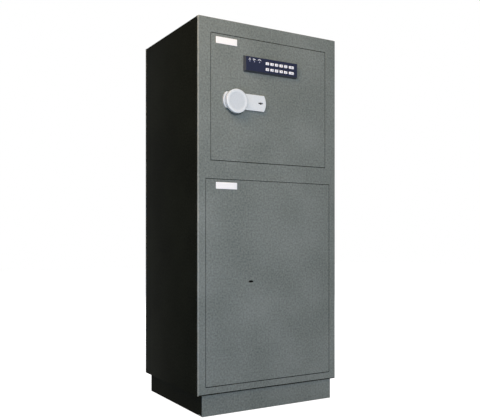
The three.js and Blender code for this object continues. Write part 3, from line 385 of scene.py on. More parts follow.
def arc(centre, radius, start, stop, steps):
    """Points centre + radius (cos t, sin t), with t from start to stop in degrees."""
    t = np.radians(np.linspace(start, stop, steps))
    return np.column_stack([centre[0] + radius * np.cos(t), centre[1] + radius * np.sin(t)])


print("surface helpers ready, 1 unit =", MM, "m")


# %% [markdown]
# ## Turned shapes
# A lathe makes a shape from one outline. Each point of the outline has a distance from the axis and a
# height along it, and is carried round the axis. A hexagon is the same thing with a radius that
# depends on the angle, which gives nuts and screw sockets from the same function.

# %% Surface of revolution, and the hexagon's radius
def turned(profile, centre, axis, columns=64, hexagonal=()):
    """P(u, v) = centre + h(v) axis + r(v) (cos u e1 + sin u e2), where profile holds (r, h).
    In the rows named hexagonal, r is the distance to a flat: r / cos((u mod 60) - 30)."""
    profile, axis = np.array(profile, float), np.array(axis, float)
    first = np.cross(axis, [0.0, 0.0, 1.0] if abs(axis[2]) < 0.9 else [1.0, 0.0, 0.0])
    second = np.cross(axis, first)
    u = np.linspace(0, 2 * math.pi, columns, endpoint=False)
    radius = np.repeat(profile[:, :1], columns, axis=1)
    to_flat = np.cos(np.mod(u, math.pi / 3) - math.pi / 6)
    for row in hexagonal:
        radius[row] = radius[row] / to_flat
    around = np.cos(u)[:, None] * first + np.sin(u)[:, None] * second
    return np.array(centre) + profile[:, 1, None, None] * axis + radius[:, :, None] * around


def socket_screw(centre, axis, head=4.5, height=2.4, rounding=1.4):
    """A button-head screw: a rounded head, and a hexagon socket 0.42 times as wide and 0.6 as deep."""
    dome = arc((head - rounding, height - rounding), rounding, 0, 80, 4)
    socket, bottom = head * 0.42, height * 0.4
    profile = [(0, 0), (head, 0), *dome, (socket, height), (socket, bottom), (0, bottom)]
    last = len(profile) - 1
    return turned(profile, centre, axis, 24, hexagonal=(last - 2, last - 1))


def hexagon_nut(centre, axis, flat=6.5, height=5.4, bore=4.05, chamfer=0.6):
    """A hexagon nut with a chamfered bore, closed round on itself."""
    profile = [(bore, 0), (flat, 0), (flat, height), (bore + chamfer, height), (bore, height - chamfer),
               (bore, 0)]
    return turned(profile, centre, axis, 24, hexagonal=(1, 2))


print("turned shapes ready: a screw has", socket_screw((0, 0, 0), (0, 1, 0)).shape, "points")


# %% [markdown]
# ## Moulded and cut plates
# Keys, labels and lids are outlines with rounded corners that step inwards as they rise: first up the
# wall, then round the edge, then over a slightly crowned face. So a plate is a stack of outlines, each
# given by how far it is set in and how high it lies.

# %% Rounded plate facing the front
def plate(low, high, front, back, corner, edge, crown=0.0, steps=5):
    """A rounded rectangle in x and z, from y = back to y = front. Row k is the outline set in by
    i(k): x = sign (w/2 - corner) + (corner - i) cos t. The face rises to its middle by the crown."""
    low, high = np.array(low, float), np.array(high, float)
    half, middle = (high - low) / 2, (high + low) / 2
    t = np.radians(np.concatenate([np.linspace(q, q + 90, steps) for q in (0, 90, 180, 270)]))
    signs = np.repeat([(1, 1), (-1, 1), (-1, -1), (1, -1)], steps, axis=0)
    turn = np.radians(np.linspace(0, 90, steps))
    inset = np.concatenate([[0], edge * (1 - np.cos(turn))])
    depth = np.concatenate([[back], front + crown + edge * (1 - np.sin(turn))])
    rounded = (corner - inset)[:, None, None] * np.stack([np.cos(t), np.sin(t)], axis=1)
    rows = signs * (half - corner) + rounded
    share = np.array([0.8, 0.55, 0.3, 0])
    face = rows[-1] * share[:, None, None]
    rim = front + crown - crown * (1 - share ** 2)
    rows = np.concatenate([rows[:1] * 0, rows, face])
    depth = np.concatenate([[back], depth, rim])
    flat = np.repeat(depth[:, None], rows.shape[1], axis=1)
    return np.stack([middle[0] + rows[..., 0], flat, middle[1] + rows[..., 1]], axis=-1)


print("a key has", plate((0, 0), (12, 9), -1, 0, 2, 0.8).shape, "points")


# %% [markdown]
# ## Softened copies
# The frame's plates have perfectly sharp edges. Real sheet is sheared, folded and then painted, and
# every edge catches a thin line of light. So a plate is copied, its triangles are merged, the flat ones
# are joined, and a Bevel rounds what is left. The copy stands for the node, which stays in the frame.

# %% Copy of a node with rounded edges
FLAT_ANGLE = 0.4
EDGE_ANGLE = 40
SHEARED_EDGE = 0.5


def softened(node, edge, material, body, segments=3, weigh=None, joined=True):
    """A copy of a node with its edges rounded by edge mm. With weigh, a function of each edge's two
    ends gives the share of that radius. A face with many holes in it stays in triangles: joined to one
    polygon it would touch itself."""
    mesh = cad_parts[node].data.copy()
    mesh.name = node + "_soft"
    work = bmesh.new()
    work.from_mesh(mesh)
    bmesh.ops.remove_doubles(work, verts=work.verts, dist=MERGE_DISTANCE * MM)
    if joined:
        bmesh.ops.dissolve_limit(work, angle_limit=math.radians(FLAT_ANGLE), verts=work.verts,
                                 edges=work.edges)
    if weigh:
        layer = work.edges.layers.float.new("bevel_weight_edge")
        for line in work.edges:
            if len(line.link_faces) == 2 and line.calc_face_angle(0) > math.radians(EDGE_ANGLE):
                line[layer] = weigh(*(np.array(end.co) / MM for end in line.verts))
    work.to_mesh(mesh)
    work.free()
    piece = finish_piece(node + "_soft", mesh, material, body, (node,), EDGE_ANGLE)
    bevel = piece.modifiers.new("edge rounding", "BEVEL")
    bevel.width = edge * MM
    bevel.segments = segments
    bevel.limit_method = "WEIGHT" if weigh else "ANGLE"
    bevel.angle_limit = math.radians(EDGE_ANGLE)
    bevel.use_clamp_overlap = False
    even = piece.modifiers.new("even shading", "WEIGHTED_NORMAL")
    even.keep_sharp = True
    return piece


def faces_of(mesh):
    """Centre in mm and normal of each face, as two arrays."""
    centre, normal = np.empty(len(mesh.polygons) * 3), np.empty(len(mesh.polygons) * 3)
    mesh.polygons.foreach_get("center", centre)
    mesh.polygons.foreach_get("normal", normal)
    return centre.reshape(-1, 3) / MM, normal.reshape(-1, 3)


def second_coat(piece, coat, chosen):
    """A further material on the faces for which chosen(centre, normal) is true. Returns their number."""
    mesh = bpy.data.meshes.new_from_object(piece.evaluated_get(bpy.context.evaluated_depsgraph_get()))
    piece.modifiers.clear()
    piece.data = mesh
    index = np.empty(len(mesh.polygons), dtype=np.int32)
    mesh.polygons.foreach_get("material_index", index)
    where = chosen(*faces_of(mesh))
    mesh.materials.append(coat)
    index[where] = len(mesh.materials) - 1
    mesh.polygons.foreach_set("material_index", index)
    return int(where.sum())


print("softening ready: edges round, faces take a second coat")


# %% [markdown]
# ## Carcass
# The sides and the top are one sheet, folded over at the two upper edges. A tight fold has an outer
# radius about as large as the sheet is thick, here 4 mm. Outside the sheet is near black, inside it is
# light grey, so that the contents can be seen. One small outline, the sheet's thickness by the safe's
# depth, is carried along a path that goes up the left side, over the top and down the right side.

# %% Folded sheet
FOLD_RADIUS = 4.0
CUT_EDGE = 0.6


def folded_sheet(low, high, sheet, fold):
    """P(u, v) = path(u) + a(v) normal(u) + y(v): the outline (a, y) carried over both folds."""
    left = arc((low[0] + fold, high[2] - fold), fold, 180, 90, 9)
    right = arc((high[0] - fold, high[2] - fold), fold, 90, 0, 9)
    foot_left, foot_right = [[low[0], low[2]]], [[high[0], low[2]]]
    path = np.vstack([foot_left, left, right, foot_right])
    normal = np.vstack([[[-1, 0]], (left - (low[0] + fold, high[2] - fold)) / fold,
                        (right - (high[0] - fold, high[2] - fold)) / fold, [[1, 0]]])
    half, middle = np.array([sheet / 2, (high[1] - low[1]) / 2]), (high[1] + low[1]) / 2
    ring = np.vstack([arc((sx * (half[0] - CUT_EDGE), sy * (half[1] - CUT_EDGE)), CUT_EDGE, q, q + 90, 3)
                      for q, sx, sy in ((0, 1, 1), (90, -1, 1), (180, -1, -1), (270, 1, -1))])
    thick, along = ring[:, 0] - half[0], ring[:, 1] + middle
    flat = path[:, None, :] + thick[None, :, None] * normal[:, None, :]
    return capped(np.stack([flat[..., 0], np.repeat(along[None], len(path), 0), flat[..., 1]], axis=-1))


side_low, side_high = corners("left_side_panel")
right_low, right_high = corners("right_side_panel")
top_high = corners("top_panel")[1]
frame_low, frame_high = corners("front_frame")
carcass = folded_sheet((side_low[0], frame_high[1], side_low[2]), (right_high[0], side_high[1], top_high[2]),
                       right_high[0] - right_low[0], FOLD_RADIUS)
carcass_piece = finish_piece("folded_carcass", mesh_of("folded_carcass", [carcass]), side_paint, "cabinet",
                             ("left_side_panel", "right_side_panel", "top_panel"))


def looks_inwards(centre, normal):
    """True where the normal has a part towards the middle of the safe."""
    middle = np.array([0.0, 0.0, (side_low[2] + side_high[2]) / 2])
    return ((centre - middle) * normal * (1, 0, 1)).sum(axis=1) < 0


print("folded carcass:", carcass.shape, "points,", second_coat(carcass_piece, inner_paint, looks_inwards),
      "inner faces light grey, fold radius", FOLD_RADIUS, "mm")


# %% [markdown]
# ## Front frame and back
# The frame's outer edge is ground round after welding, and its corners follow the folds. The door
# openings are cut by laser and only deburred. So the outer edges get the large radius, and the edges of
# the openings a small share of it. The sides take the near-black coat. The cut edges of doors and
# openings take it too, as painted shade, so each door gap reads as a clear dark line. The upright
# roundings between front and side take a paler coat, a painted highlight that shows as a pale line. So
# the rounded mesh is fixed first, and each of its faces then gets its coat from where it lies and which
# way it faces. A part of the normal above SQUARE_ON means that a face looks straight that way, and one
# below EDGE_ON that it is edge on.

# %% Front frame, back panel
RIM_SHARE, FOOT_SHARE, BACK_SHARE, OPENING_SHARE = 0.75, 0.2, 0.1, 0.08
ON_OUTLINE = 0.5
SQUARE_ON, EDGE_ON = 0.995, 0.05
BACK_EDGE = 1.0
frame_middle = (frame_low + frame_high) / 2


def outlines_at(point):
    """How many of the frame's outlines, the upright and the level one, the point lies on."""
    return sum(min(point[i] - frame_low[i], frame_high[i] - point[i]) < ON_OUTLINE for i in (0, 2))


def outer_share(start, stop):
    """Full rounding on the two upper corners, most of it on the front's rim, little elsewhere."""
    fewest = min(outlines_at(start), outlines_at(stop))
    if fewest == 2 and abs(start[1] - stop[1]) > 1:
        return 1.0 if start[2] > frame_middle[2] else FOOT_SHARE
    if fewest:
        return RIM_SHARE if start[1] < frame_low[1] + 1 else BACK_SHARE
    return OPENING_SHARE


def cut_edge(centre, normal):
    """Cut edges of doors and openings, and the level roundings beside them: these take the near-black coat
    as painted shade in the gaps.
    """
    facing = np.abs(normal[:, 1])
    upright = (facing > EDGE_ON) & (facing < SQUARE_ON) & (np.abs(normal[:, 0]) > EDGE_ON)
    top_rim = (facing > EDGE_ON) & (centre[:, 2] > frame_high[2] - FOLD_RADIUS)
    return (facing < SQUARE_ON) & ~upright & ~top_rim


def outer_rounding(centre, normal):
    """The roundings between the front and the two sides, which take the pale coat as a painted highlight."""
    from_side = np.minimum(centre[:, 0] - frame_low[0], frame_high[0] - centre[:, 0])
    facing = -normal[:, 1]
    between = (facing > EDGE_ON) & (facing < SQUARE_ON) & (np.abs(normal[:, 0]) > EDGE_ON)
    return between & (from_side < FOLD_RADIUS)


front_piece = softened("front_frame", FOLD_RADIUS, front_paint, "cabinet", 6, outer_share)
# The near-black coat on cut edges is painted shade in the gaps; the pale coat on the side roundings is a
# painted highlight.
print("front frame:", second_coat(front_piece, side_paint, cut_edge), "dark faces,",
      second_coat(front_piece, edge_highlight_paint, outer_rounding), "pale faces")
second_coat(softened("back_panel", BACK_EDGE, side_paint, "cabinet"), inner_paint,
            lambda centre, normal: normal[:, 1] < -0.5)
for name, material, slot in (("base_panel", inner_paint, "front_paint"),
                             ("divider_floor", inner_paint, "front_paint"),
                             ("plinth_front", front_paint, "front_paint"),
                             ("plinth_back", side_paint, "side_paint"),
                             ("plinth_left", side_paint, "side_paint"),
                             ("plinth_right", side_paint, "side_paint")):
    softened(name, CUT_EDGE, material, "cabinet")
print("cabinet plates softened")


# %% [markdown]
# ## Doors
# Each door is one plate of 10 mm steel that lies flush in the frame, with a gap all round that reads as
# a thin dark line. Behind it sit a folded cover over the boltwork and a bar that laps behind the frame
# on the hinge side. Button-head screws hold the cover. The cover's rounding stays under half of its
# 2 mm sheet, so that the roundings of both faces don't meet.

# %% Door panels, covers and dog bars
DOOR_EDGE, COVER_EDGE, DOG_BAR_EDGE = 0.35, 0.9, 0.8
COVER_SCREW_INSET = 14.0

for side in ("upper", "lower"):
    door = side + "_door"
    # The door's cut edges take the near-black coat, painted shade in the gap round the door.
    second_coat(softened(side + "_door_panel", DOOR_EDGE, front_paint, door, 2),
                side_paint, cut_edge)
    softened(side + "_boltwork_cover", COVER_EDGE, front_paint, door)
    softened(side + "_dog_bar", DOG_BAR_EDGE, zinc_steel, door)
    low, high = corners(side + "_boltwork_cover")
    across = (low[0] + COVER_SCREW_INSET, high[0] - COVER_SCREW_INSET)
    upright = (low[2] + COVER_SCREW_INSET, (low[2] + high[2]) / 2, high[2] - COVER_SCREW_INSET)
    screws = [socket_screw((x, high[1], z), (0, 1, 0)) for x in across for z in upright]
    finish_piece(side + "_cover_screws", mesh_of(side + "_cover_screws", screws), zinc_steel, door)
print("doors: 2 panels, 2 covers, 2 dog bars, 12 cover screws")


# %% [markdown]
# ## Bolts
# The bolts are turned bars with a chamfered nose and a threaded stud that passes through the bolt bar.
# A nut holds each one. They are polished by use, so they are the brightest metal inside.

# %% Locking bolts, their nuts and the bolt bars
NOSE, BLEND = 1.5, 0.6
STUD_LENGTH, STUD_RADIUS = 10.6, 4.0
NUT_FROM_END = 6.0

for side, count in (("upper", 2), ("lower", 3)):
    body = side + "_bolts"
    softened(side + "_bolt_bar", SHEARED_EDGE, zinc_steel, body)
    nuts = []
    for number in range(1, count + 1):
        node = f"{side}_bolt_{number}"
        low, high = corners(node)
        middle = (low + high) / 2
        radius, length = (high[2] - low[2]) / 2, high[0] - low[0]
        shoulder = length - STUD_LENGTH
        profile = [(0, 0), (radius - NOSE - BLEND, 0),
                   *arc((radius - NOSE, BLEND + 0.1), BLEND, -90, -45, 3),
                   *arc((radius - BLEND, NOSE + 0.5), BLEND, -45, 0, 3), (radius, shoulder),
                   (STUD_RADIUS, shoulder), (STUD_RADIUS, length - BLEND), (STUD_RADIUS - BLEND, length),
                   (0, length)]
        foot = (low[0], middle[1], middle[2])
        steel = turned_steel(f"turned_steel_{node}", foot, (1.0, 0.0, 0.0))
        finish_piece(node + "_turned", mesh_of(node, [turned(profile, foot, (1, 0, 0), 48)]), steel, body,
                     (node,))
        nuts.append(hexagon_nut((high[0] - NUT_FROM_END, middle[1], middle[2]), (1, 0, 0)))
    finish_piece(side + "_bolt_nuts", mesh_of(side + "_bolt_nuts", nuts), zinc_steel, body)
print("bolts: 5 turned, 5 nuts")


# %% [markdown]
# ## Handle
# The handle is a disc on an oblong plate, both die-cast and plated satin silver. The disc has a raised
# round rim and a shallow dish, so that a hand can grip and turn it. The dish is painted a little
# darker than the rim, so the rim shows as a pale ring, a painted highlight.

# %% Disc knob, its plate and the parts behind
DISH = 1.3
DISH_RADIUS = 20.0
CREST_RADIUS = 28.0
DARKER_DISH_RADIUS = 24.0
SHOULDER = 3.0
BACK_ROUNDING = 2.0
NECK_RADIUS = 17.0
NECK = 1.0
PLATE_EDGE = 0.3

knob_low, knob_high = corners("handle_knob")
knob_middle = (knob_low + knob_high) / 2
knob_radius = (knob_high[0] - knob_low[0]) / 2
knob_depth = knob_high[1] - knob_low[1]
disc = knob_depth - NECK
inner = np.linspace(DISH_RADIUS, CREST_RADIUS, 12)
rise = (inner - DISH_RADIUS) / (CREST_RADIUS - DISH_RADIUS)
slope = np.column_stack([inner, DISH * (1 - rise ** 2 * (3 - 2 * rise))])
turn = np.radians(np.linspace(6, 90, 12))
shoulder = np.column_stack([CREST_RADIUS + (knob_radius - CREST_RADIUS) * np.sin(turn),
                            SHOULDER * (1 - np.cos(turn))])
knob_profile = [(0, DISH), (DISH_RADIUS * 0.45, DISH), *slope, *shoulder,
                *arc((knob_radius - BACK_ROUNDING, disc - BACK_ROUNDING), BACK_ROUNDING, 0, 90, 8),
                (NECK_RADIUS, disc), (NECK_RADIUS, knob_depth), (0, knob_depth)]
knob = turned(knob_profile, (knob_middle[0], knob_low[1], knob_middle[2]), (0, 1, 0), 144)
knob_piece = finish_piece("disc_knob", mesh_of("disc_knob", [knob]), handle_metal, "handle",
                          ("handle_knob",))


def in_dish(centre, normal):
    """The front faces nearer to the axis than DARKER_DISH_RADIUS."""
    reach = np.hypot(centre[:, 0] - knob_middle[0], centre[:, 2] - knob_middle[2])
    return (reach < DARKER_DISH_RADIUS) & (normal[:, 1] < -0.5)


# The dish takes the darker metal, so the rim reads as a painted highlight.
second_coat(knob_piece, darkened_dish_metal, in_dish)
softened("handle_plate", PLATE_EDGE, handle_metal, "upper_door", 2)
print("knob:", knob.shape, "points, radius", knob_radius, "mm")


# %% [markdown]
# ## Keypad
# The keypad is a shallow moulding with sloping sides. Twelve white keys stand through it, and beside
# them are three small lamps, each under a printed sign. A key is moulded with soft edges and a slight
# crown, so that a finger finds its middle.

# %% Housing and keys
HOUSING_EDGE = 0.5
KEY_CORNER, KEY_EDGE, KEY_CROWN = 1.6, 0.7, 0.15
FLANGE, FLANGE_THICKNESS = 0.7, 1.0
FLANGE_CORNER, FLANGE_EDGE = 0.8, 0.1
CAP_OVERLAP = 0.1

softened("keypad_housing", HOUSING_EDGE, keypad_plastic, "upper_door", joined=False)
key_nodes = [f"digit_key_{digit}" for digit in range(10)] + ["function_key_1", "function_key_2"]
for node in key_nodes:
    low, high = corners(node)
    flange_front = high[1] - FLANGE_THICKNESS
    cap = plate((low[0] + FLANGE, low[2] + FLANGE), (high[0] - FLANGE, high[2] - FLANGE),
                low[1], flange_front + CAP_OVERLAP, KEY_CORNER, KEY_EDGE, KEY_CROWN)
    rim = plate((low[0], low[2]), (high[0], high[2]), flange_front, high[1], FLANGE_CORNER, FLANGE_EDGE)
    finish_piece(node + "_cap", mesh_of(node, [cap, rim]), key_plastic, node, (node,))
print("keys:", len(key_nodes), "caps")


# %% [markdown]
# ## Printed signs
# The digits are screen printed on the keys. They are made from text, turned into a mesh and laid a few
# hundredths of a millimetre proud of the cap, as ink is.

# %% Digits as flat meshes
INK = 0.04
DIGIT_HEIGHT = 6.6


def ink_mesh(name, text, height, centre, front):
    """The text as a mesh: its plane x, y becomes x, z, and its thickness points to the front."""
    curve = bpy.data.curves.new(name, "FONT")
    curve.body, curve.size, curve.extrude = text, height * MM, INK * MM
    curve.align_x, curve.align_y = "CENTER", "CENTER"
    holder = bpy.data.objects.new(name, curve)
    mesh = bpy.data.meshes.new_from_object(holder)
    flat = np.empty(len(mesh.vertices) * 3)
    mesh.vertices.foreach_get("co", flat)
    flat = flat.reshape(-1, 3)
    middle = (flat.min(axis=0) + flat.max(axis=0)) / 2
    flat -= middle
    placed = np.column_stack([flat[:, 0] + centre[0] * MM, -flat[:, 2] + front * MM,
                              flat[:, 1] + centre[1] * MM])
    mesh.vertices.foreach_set("co", placed.ravel())
    mesh.update()
    bpy.data.objects.remove(holder)
    bpy.data.curves.remove(curve)
    return mesh


for digit in range(10):
    node = f"digit_key_{digit}"
    low, high = corners(node)
    middle = (low + high) / 2
    mesh = ink_mesh(f"digit_{digit}", str(digit), DIGIT_HEIGHT, (middle[0], middle[2]), low[1] + INK * 0.2)
    finish_piece(f"digit_{digit}", mesh, dark_ink, node)
print("digits: 10 printed")


# %% [markdown]
# ## Lines of ink
# A printed line is a thin ribbon: an outline as wide as the line and as thick as the ink is carried
# along a path on the key or on the housing. A ring is a path that ends where it starts. The two wide
# keys carry a ring and a bar. The lamps are small domed lenses, and the signs over them are a
# triangle, a ring with a stem, and an arc.

# %% Rings, bars and lamps
RING_RADIUS, BAR_HALF, KEY_LINE = 2.0, 3.2, 1.0
SIGN_PLACES, SIGN_LEVEL = (15.1, 29.9, 45.9), 34.5
SIGN_LINE, BOW_LINE = 1.4, 1.6
LENS_BELOW_SIGN = 5.9
LENS_PROFILE = [(0, 0.3), (1.5, 0.3), *arc((1.1, 0), 0.5, 0, -90, 4), (0, -0.5)]


def band(path, width, front, thickness=INK):
    """A flat printed line: the rectangle width by thickness carried along a path in x and z."""
    path = np.array(path, float)
    closed = np.allclose(path[0], path[-1])
    step = np.gradient(path, axis=0)
    side = np.column_stack([-step[:, 1], step[:, 0]]) / np.linalg.norm(step, axis=1)[:, None]
    if closed:
        side[0] = side[-1] = (side[0] + side[-1]) / np.linalg.norm(side[0] + side[-1])
    edge = np.array([(1, 0), (1, 1), (-1, 1), (-1, 0)])
    flat = path[:, None, :] + edge[None, :, :1] * side[:, None, :] * width / 2
    depth = front + (edge[:, 1] * thickness)[None].repeat(len(path), 0)
    shell = np.stack([flat[..., 0], depth, flat[..., 1]], axis=-1)
    return shell if closed else capped(shell)


for number, is_ring in ((1, True), (2, False)):
    node = f"function_key_{number}"
    low, high = corners(node)
    middle = (low + high) / 2
    line = (arc((middle[0], middle[2]), RING_RADIUS, 0, 360, 33) if is_ring
            else [(middle[0] - BAR_HALF, middle[2]), (middle[0] + BAR_HALF, middle[2])])
    sign = band(line, KEY_LINE, low[1] - INK / 2)
    finish_piece(f"key_sign_{number}", mesh_of(f"key_sign_{number}", [sign]), dark_ink, node)

face = keypad_low[1]
(x1, z1), (x2, z2), (x3, z3) = [(keypad_low[0] + x, keypad_low[2] + SIGN_LEVEL) for x in SIGN_PLACES]
triangle = band([(x1 - 3, z1 - 2.2), (x1, z1 + 2.6), (x1 + 3, z1 - 2.2), (x1 - 3, z1 - 2.2)], SIGN_LINE,
                face - INK)
stem_ring = [band(arc((x2 - 2.2, z2), 1.9, 0, 360, 25), SIGN_LINE, face - INK),
             band([(x2 - 0.3, z2), (x2 + 4.0, z2)], SIGN_LINE, face - INK)]
bow = band(arc((x3, z3 - 4.0), 5.6, 30, 150, 17), BOW_LINE, face - INK)
finish_piece("lamp_signs", mesh_of("lamp_signs", [triangle, *stem_ring, bow]), white_ink, "upper_door")
lenses = [turned(LENS_PROFILE, (x, face, z1 - LENS_BELOW_SIGN), (0, 1, 0), 24) for x in (x1, x2, x3)]
finish_piece("lamp_lenses", mesh_of("lamp_lenses", lenses), lens_plastic, "upper_door")
print("signs: 2 on keys, 3 over lamps")


# %% [markdown]
# ## Label plates
# A small plate of white engraving plastic is stuck near the top left corner of each door. Both stay
# blank. Their sawn edges are broken, so they catch a little light.

# %% Blank label plates
LABEL_SUNK, LABEL_CORNER, LABEL_EDGE = 0.2, 1.0, 0.3

for side in ("upper", "lower"):
    low, high = corners(side + "_label_plate")
    label = plate((low[0], low[2]), (high[0], high[2]), low[1], high[1] + LABEL_SUNK, LABEL_CORNER,
                  LABEL_EDGE)
    finish_piece(side + "_label", mesh_of(side + "_label", [label]), label_plastic, side + "_door",
                 (side + "_label_plate",))
print("labels: 2 blank plates")


# %% [markdown]
# ## Lock drums
# A lock drum is turned steel with a slot for a double-bit key. It is near black, painted shade, so that
# the keyhole in front of it reads as a dark opening. Only the slot shows from outside. The emergency drum
# has a lobe on top, so its axis lies one radius above its lowest point.

# %% Key drums and hidden lock parts
DRUM_RADIUS = 10.0

for node in ("emergency_key_drum", "lower_key_drum"):
    low, high = corners(node)
    middle = (low + high) / 2
    height = low[2] + DRUM_RADIUS if node == "emergency_key_drum" else middle[2]
    # Painted shade: the drum is near black, so the keyhole reads dark.
    finish_node(node, turned_steel(f"shade_dark_steel_{node}", (middle[0], low[1], height), (0.0, 1.0, 0.0),
                                   SHADE_DARK_CHIPS))
print("drums: 2")


# %% [markdown]
# ## Deposit drawer
# The drawer stands behind the upper door: a bottomless tray that runs under a hood. Pulled out, it
# takes an envelope, and its rear shutter closes the slot in the floor. Pushed back, it drops the
# envelope through. The tray is painted like the doors, the hood and runners are zinc plated. The pull
# is a knob 24 mm wide on a neck half as wide.

# %% Hood, runners, chute, drawer and its pull
for name in ("deposit_hood", "left_runner", "right_runner", "drop_chute"):
    softened(name, SHEARED_EDGE, zinc_steel, "cabinet")
softened("deposit_drawer", SHEARED_EDGE, front_paint, "deposit_drawer", joined=False)

pull_low, pull_high = corners("drawer_pull")
pull_middle = (pull_low + pull_high) / 2
pull_profile = [(0, 0.4), (6, 0.3), *arc((9, 3), 3, 270, 360, 8), (12, 8), *arc((10.5, 8.5), 1.5, 0, 90, 5),
                (8, 10.2), *arc((8, 12.2), 2, 270, 180, 6), (6, 20), *arc((7.5, 20.4), 1.5, 180, 90, 4),
                (0, 22)]
pull = turned(pull_profile, (pull_middle[0], pull_low[1], pull_middle[2]), (0, 1, 0), 72)
finish_piece("drawer_pull_knob", mesh_of("drawer_pull_knob", [pull]), handle_metal, "deposit_drawer",
             ("drawer_pull",))
print("deposit unit: 5 softened pieces and a pull")


# %% [markdown]
# ## Parts that keep the frame's shape
# Pins, the spindle, the cam, lock cases and the board already have the right shape. They only need
# their finish, which goes into the node's own material slot. The hinge pins are near black, painted
# shade, so that they don't glint where they cross the gap round a shut door.

# %% Finishes for the remaining nodes
plain_finishes = {
    zinc_steel: ("handle_spindle", "drive_cam", "electronic_lock_case", "lower_lock_case"),
    black_plastic: ("battery_box",),
    board_green: ("keypad_board",),
}
for material, nodes in plain_finishes.items():
    for name in nodes:
        finish_node(name, material)

turned_axes = {name: (0.0, 0.0, 1.0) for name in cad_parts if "hinge_pin" in name}
turned_axes["electronic_lock_bolt"] = (1.0, 0.0, 0.0)
for name, axis in turned_axes.items():
    low, high = corners(name)
    # Hinge pins are near black as painted shade in the door gap.
    chips = SHADE_DARK_CHIPS if "hinge_pin" in name else BRIGHT
    finish_node(name, turned_steel(f"turned_steel_{name}", (low + high) / 2, axis, chips))
print("plain finishes on", sum(len(nodes) for nodes in plain_finishes.values()), "nodes, turned steel on",
      len(turned_axes))


# %% [markdown]
# ## Studio
# The picture is a catalogue cut-out, white all round. The main lamp is small and stands close to the
# camera and above it, so the knob throws a narrow shadow to its lower left. Two large lamps on the left
# fill in, the lower one cooler and the upper one warmer, and a fourth lights the back for the other
# views. The floor is pale and keeps the safe's shadow. What the camera and the reflections see beyond
# it is white.

# %% Floor and world
FLOOR_SIZE, FLOOR_GLOW, GLOW_SHARE = 16.0, 3.1, 0.32
AMBIENT = 0.18


def seen_directly(tree):
    """The kinds of ray, and 1 for rays from the camera or a reflection, 0 for all others."""
    kinds = add(tree, "ShaderNodeLightPath").outputs
    return kinds, add(tree, "ShaderNodeMath", {0: kinds["Is Camera Ray"], 1: kinds["Is Glossy Ray"]},
                      operation="MAXIMUM").outputs[0]


bpy.ops.mesh.primitive_plane_add(size=FLOOR_SIZE)
floor = bpy.context.object
floor.name = "studio_floor"
floor_paint, floor_tree, floor_shader = begin("pale_floor_paint", Base_Color=linear("#a0a0a0"),
                                              Roughness=0.9, Specular_IOR_Level=0.1)
share = add(floor_tree, "ShaderNodeMath", {0: seen_directly(floor_tree)[1], 1: GLOW_SHARE},
            operation="MULTIPLY")
glow = add(floor_tree, "ShaderNodeEmission", {"Color": linear("#ffffff"), "Strength": FLOOR_GLOW})
blend = add(floor_tree, "ShaderNodeMixShader", {0: share.outputs[0], 1: floor_shader.outputs[0],
                                                2: glow.outputs[0]})
output = [n for n in floor_tree.nodes if n.type == "OUTPUT_MATERIAL"][0]
floor_tree.links.new(blend.outputs[0], output.inputs["Surface"])
floor.data.materials.append(floor_paint)

world = bpy.data.worlds.new("white_studio")
bpy.context.scene.world = world
world.use_nodes = True
tree = world.node_tree
tree.nodes.clear()
kinds, seen = seen_directly(tree)
seen = add(tree, "ShaderNodeMath", {0: seen, 1: kinds["Is Transmission Ray"]}, operation="MAXIMUM")
level = add(tree, "ShaderNodeMapRange", {"Value": seen.outputs[0], "To Min": AMBIENT, "To Max": 1.0})
hue = add(tree, "ShaderNodeMix", {0: seen.outputs[0], 6: linear("#dcedff"), 7: linear("#ffffff")},
          data_type="RGBA").outputs[2]
sky = add(tree, "ShaderNodeBackground", {"Color": hue, "Strength": level.outputs[0]})
add(tree, "ShaderNodeOutputWorld", {"Surface": sky.outputs[0]})
print("floor and white world, ambient", AMBIENT)


# %% [markdown]
# ## Lamps
# An area lamp is a soft box. Its size sets how soft a shadow's edge is, its distance how fast the light
# falls off across the safe, and its tint how warm or cool the paint looks. A lamp shines straight down
# until it is turned, so two angles point it at its target: the tilt away from straight down, and the
# turn about the upright axis.

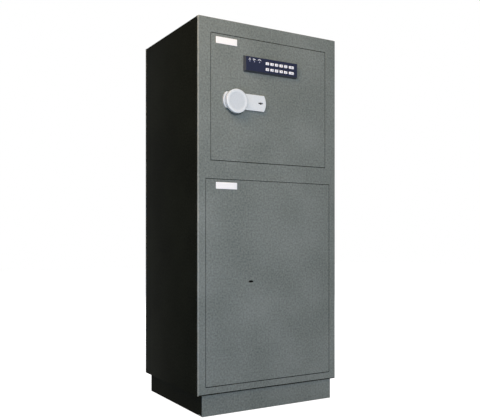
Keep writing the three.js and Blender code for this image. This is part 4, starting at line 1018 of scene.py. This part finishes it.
# %% Lamps
def soft_lamp(name, place, target, size, power, chip):
    """A square area lamp that faces its target."""
    light = bpy.data.lights.new(name, "AREA")
    light.shape, light.size, light.energy = "SQUARE", size, power
    light.color = linear(chip)[:3]
    lamp = bpy.data.objects.new(name, light)
    lamp.visible_glossy = False
    bpy.context.scene.collection.objects.link(lamp)
    lamp.location = place
    direction = np.array(target, float) - np.array(place, float)
    flat = math.hypot(direction[0], direction[1])
    lamp.rotation_euler = (math.atan2(flat, -direction[2]), 0, math.atan2(-direction[0], direction[1]))
    return lamp


soft_lamp("key_lamp", (-0.52, -2.2, 1.14), (0, -0.1, 0.75), 0.2, 20, "#fffcfa")
soft_lamp("low_fill", (-1.4, -1.1, 0.45), (0, -0.1, 0.5), 1.0, 9, "#98c8ff")
soft_lamp("upper_fill", (-1.1, -0.8, 1.6), (0, -0.1, 0.75), 0.9, 16, "#ffdcb0")
soft_lamp("back_lamp", (1.4, 2.4, 2.0), (0, 0.1, 0.6), 1.2, 150, "#ffffff")
print("lamps: a key above the camera, two fills on the left, one for the back")


# %% [markdown]
# ## Camera
# The photograph was taken from the left front at about half the safe's height, with the camera level,
# which keeps the upright edges parallel. The picture is shifted a little upwards and to the left, as on
# a view camera. Place, direction and lens follow from the straight edges of body and doors.

# %% Camera
CAMERA_PLACE = (-0.9798, -1.7373, 0.4710)
CAMERA_FORWARD = (0.5163, 0.8564)
FOCAL_LENGTH, SENSOR_WIDTH = 49.5866, 36
PICTURE_SHIFT = (-0.04, 0.0593)

lens = bpy.data.cameras.new("view_camera")
lens.lens, lens.sensor_width = FOCAL_LENGTH, SENSOR_WIDTH
lens.shift_x, lens.shift_y = PICTURE_SHIFT
lens.dof.use_dof = False
camera = bpy.data.objects.new("view_camera", lens)
bpy.context.scene.collection.objects.link(camera)
camera.location = CAMERA_PLACE
camera.rotation_euler = (math.pi / 2, 0, -math.atan2(*CAMERA_FORWARD))
bpy.context.scene.camera = camera
bpy.context.scene.view_settings.view_transform = "Standard"
print("camera:", CAMERA_PLACE, "lens", lens.lens, "mm")


# %% [markdown]
# ## Last update
# The view layer is updated once more.

# %% Last update
bpy.context.view_layer.update()
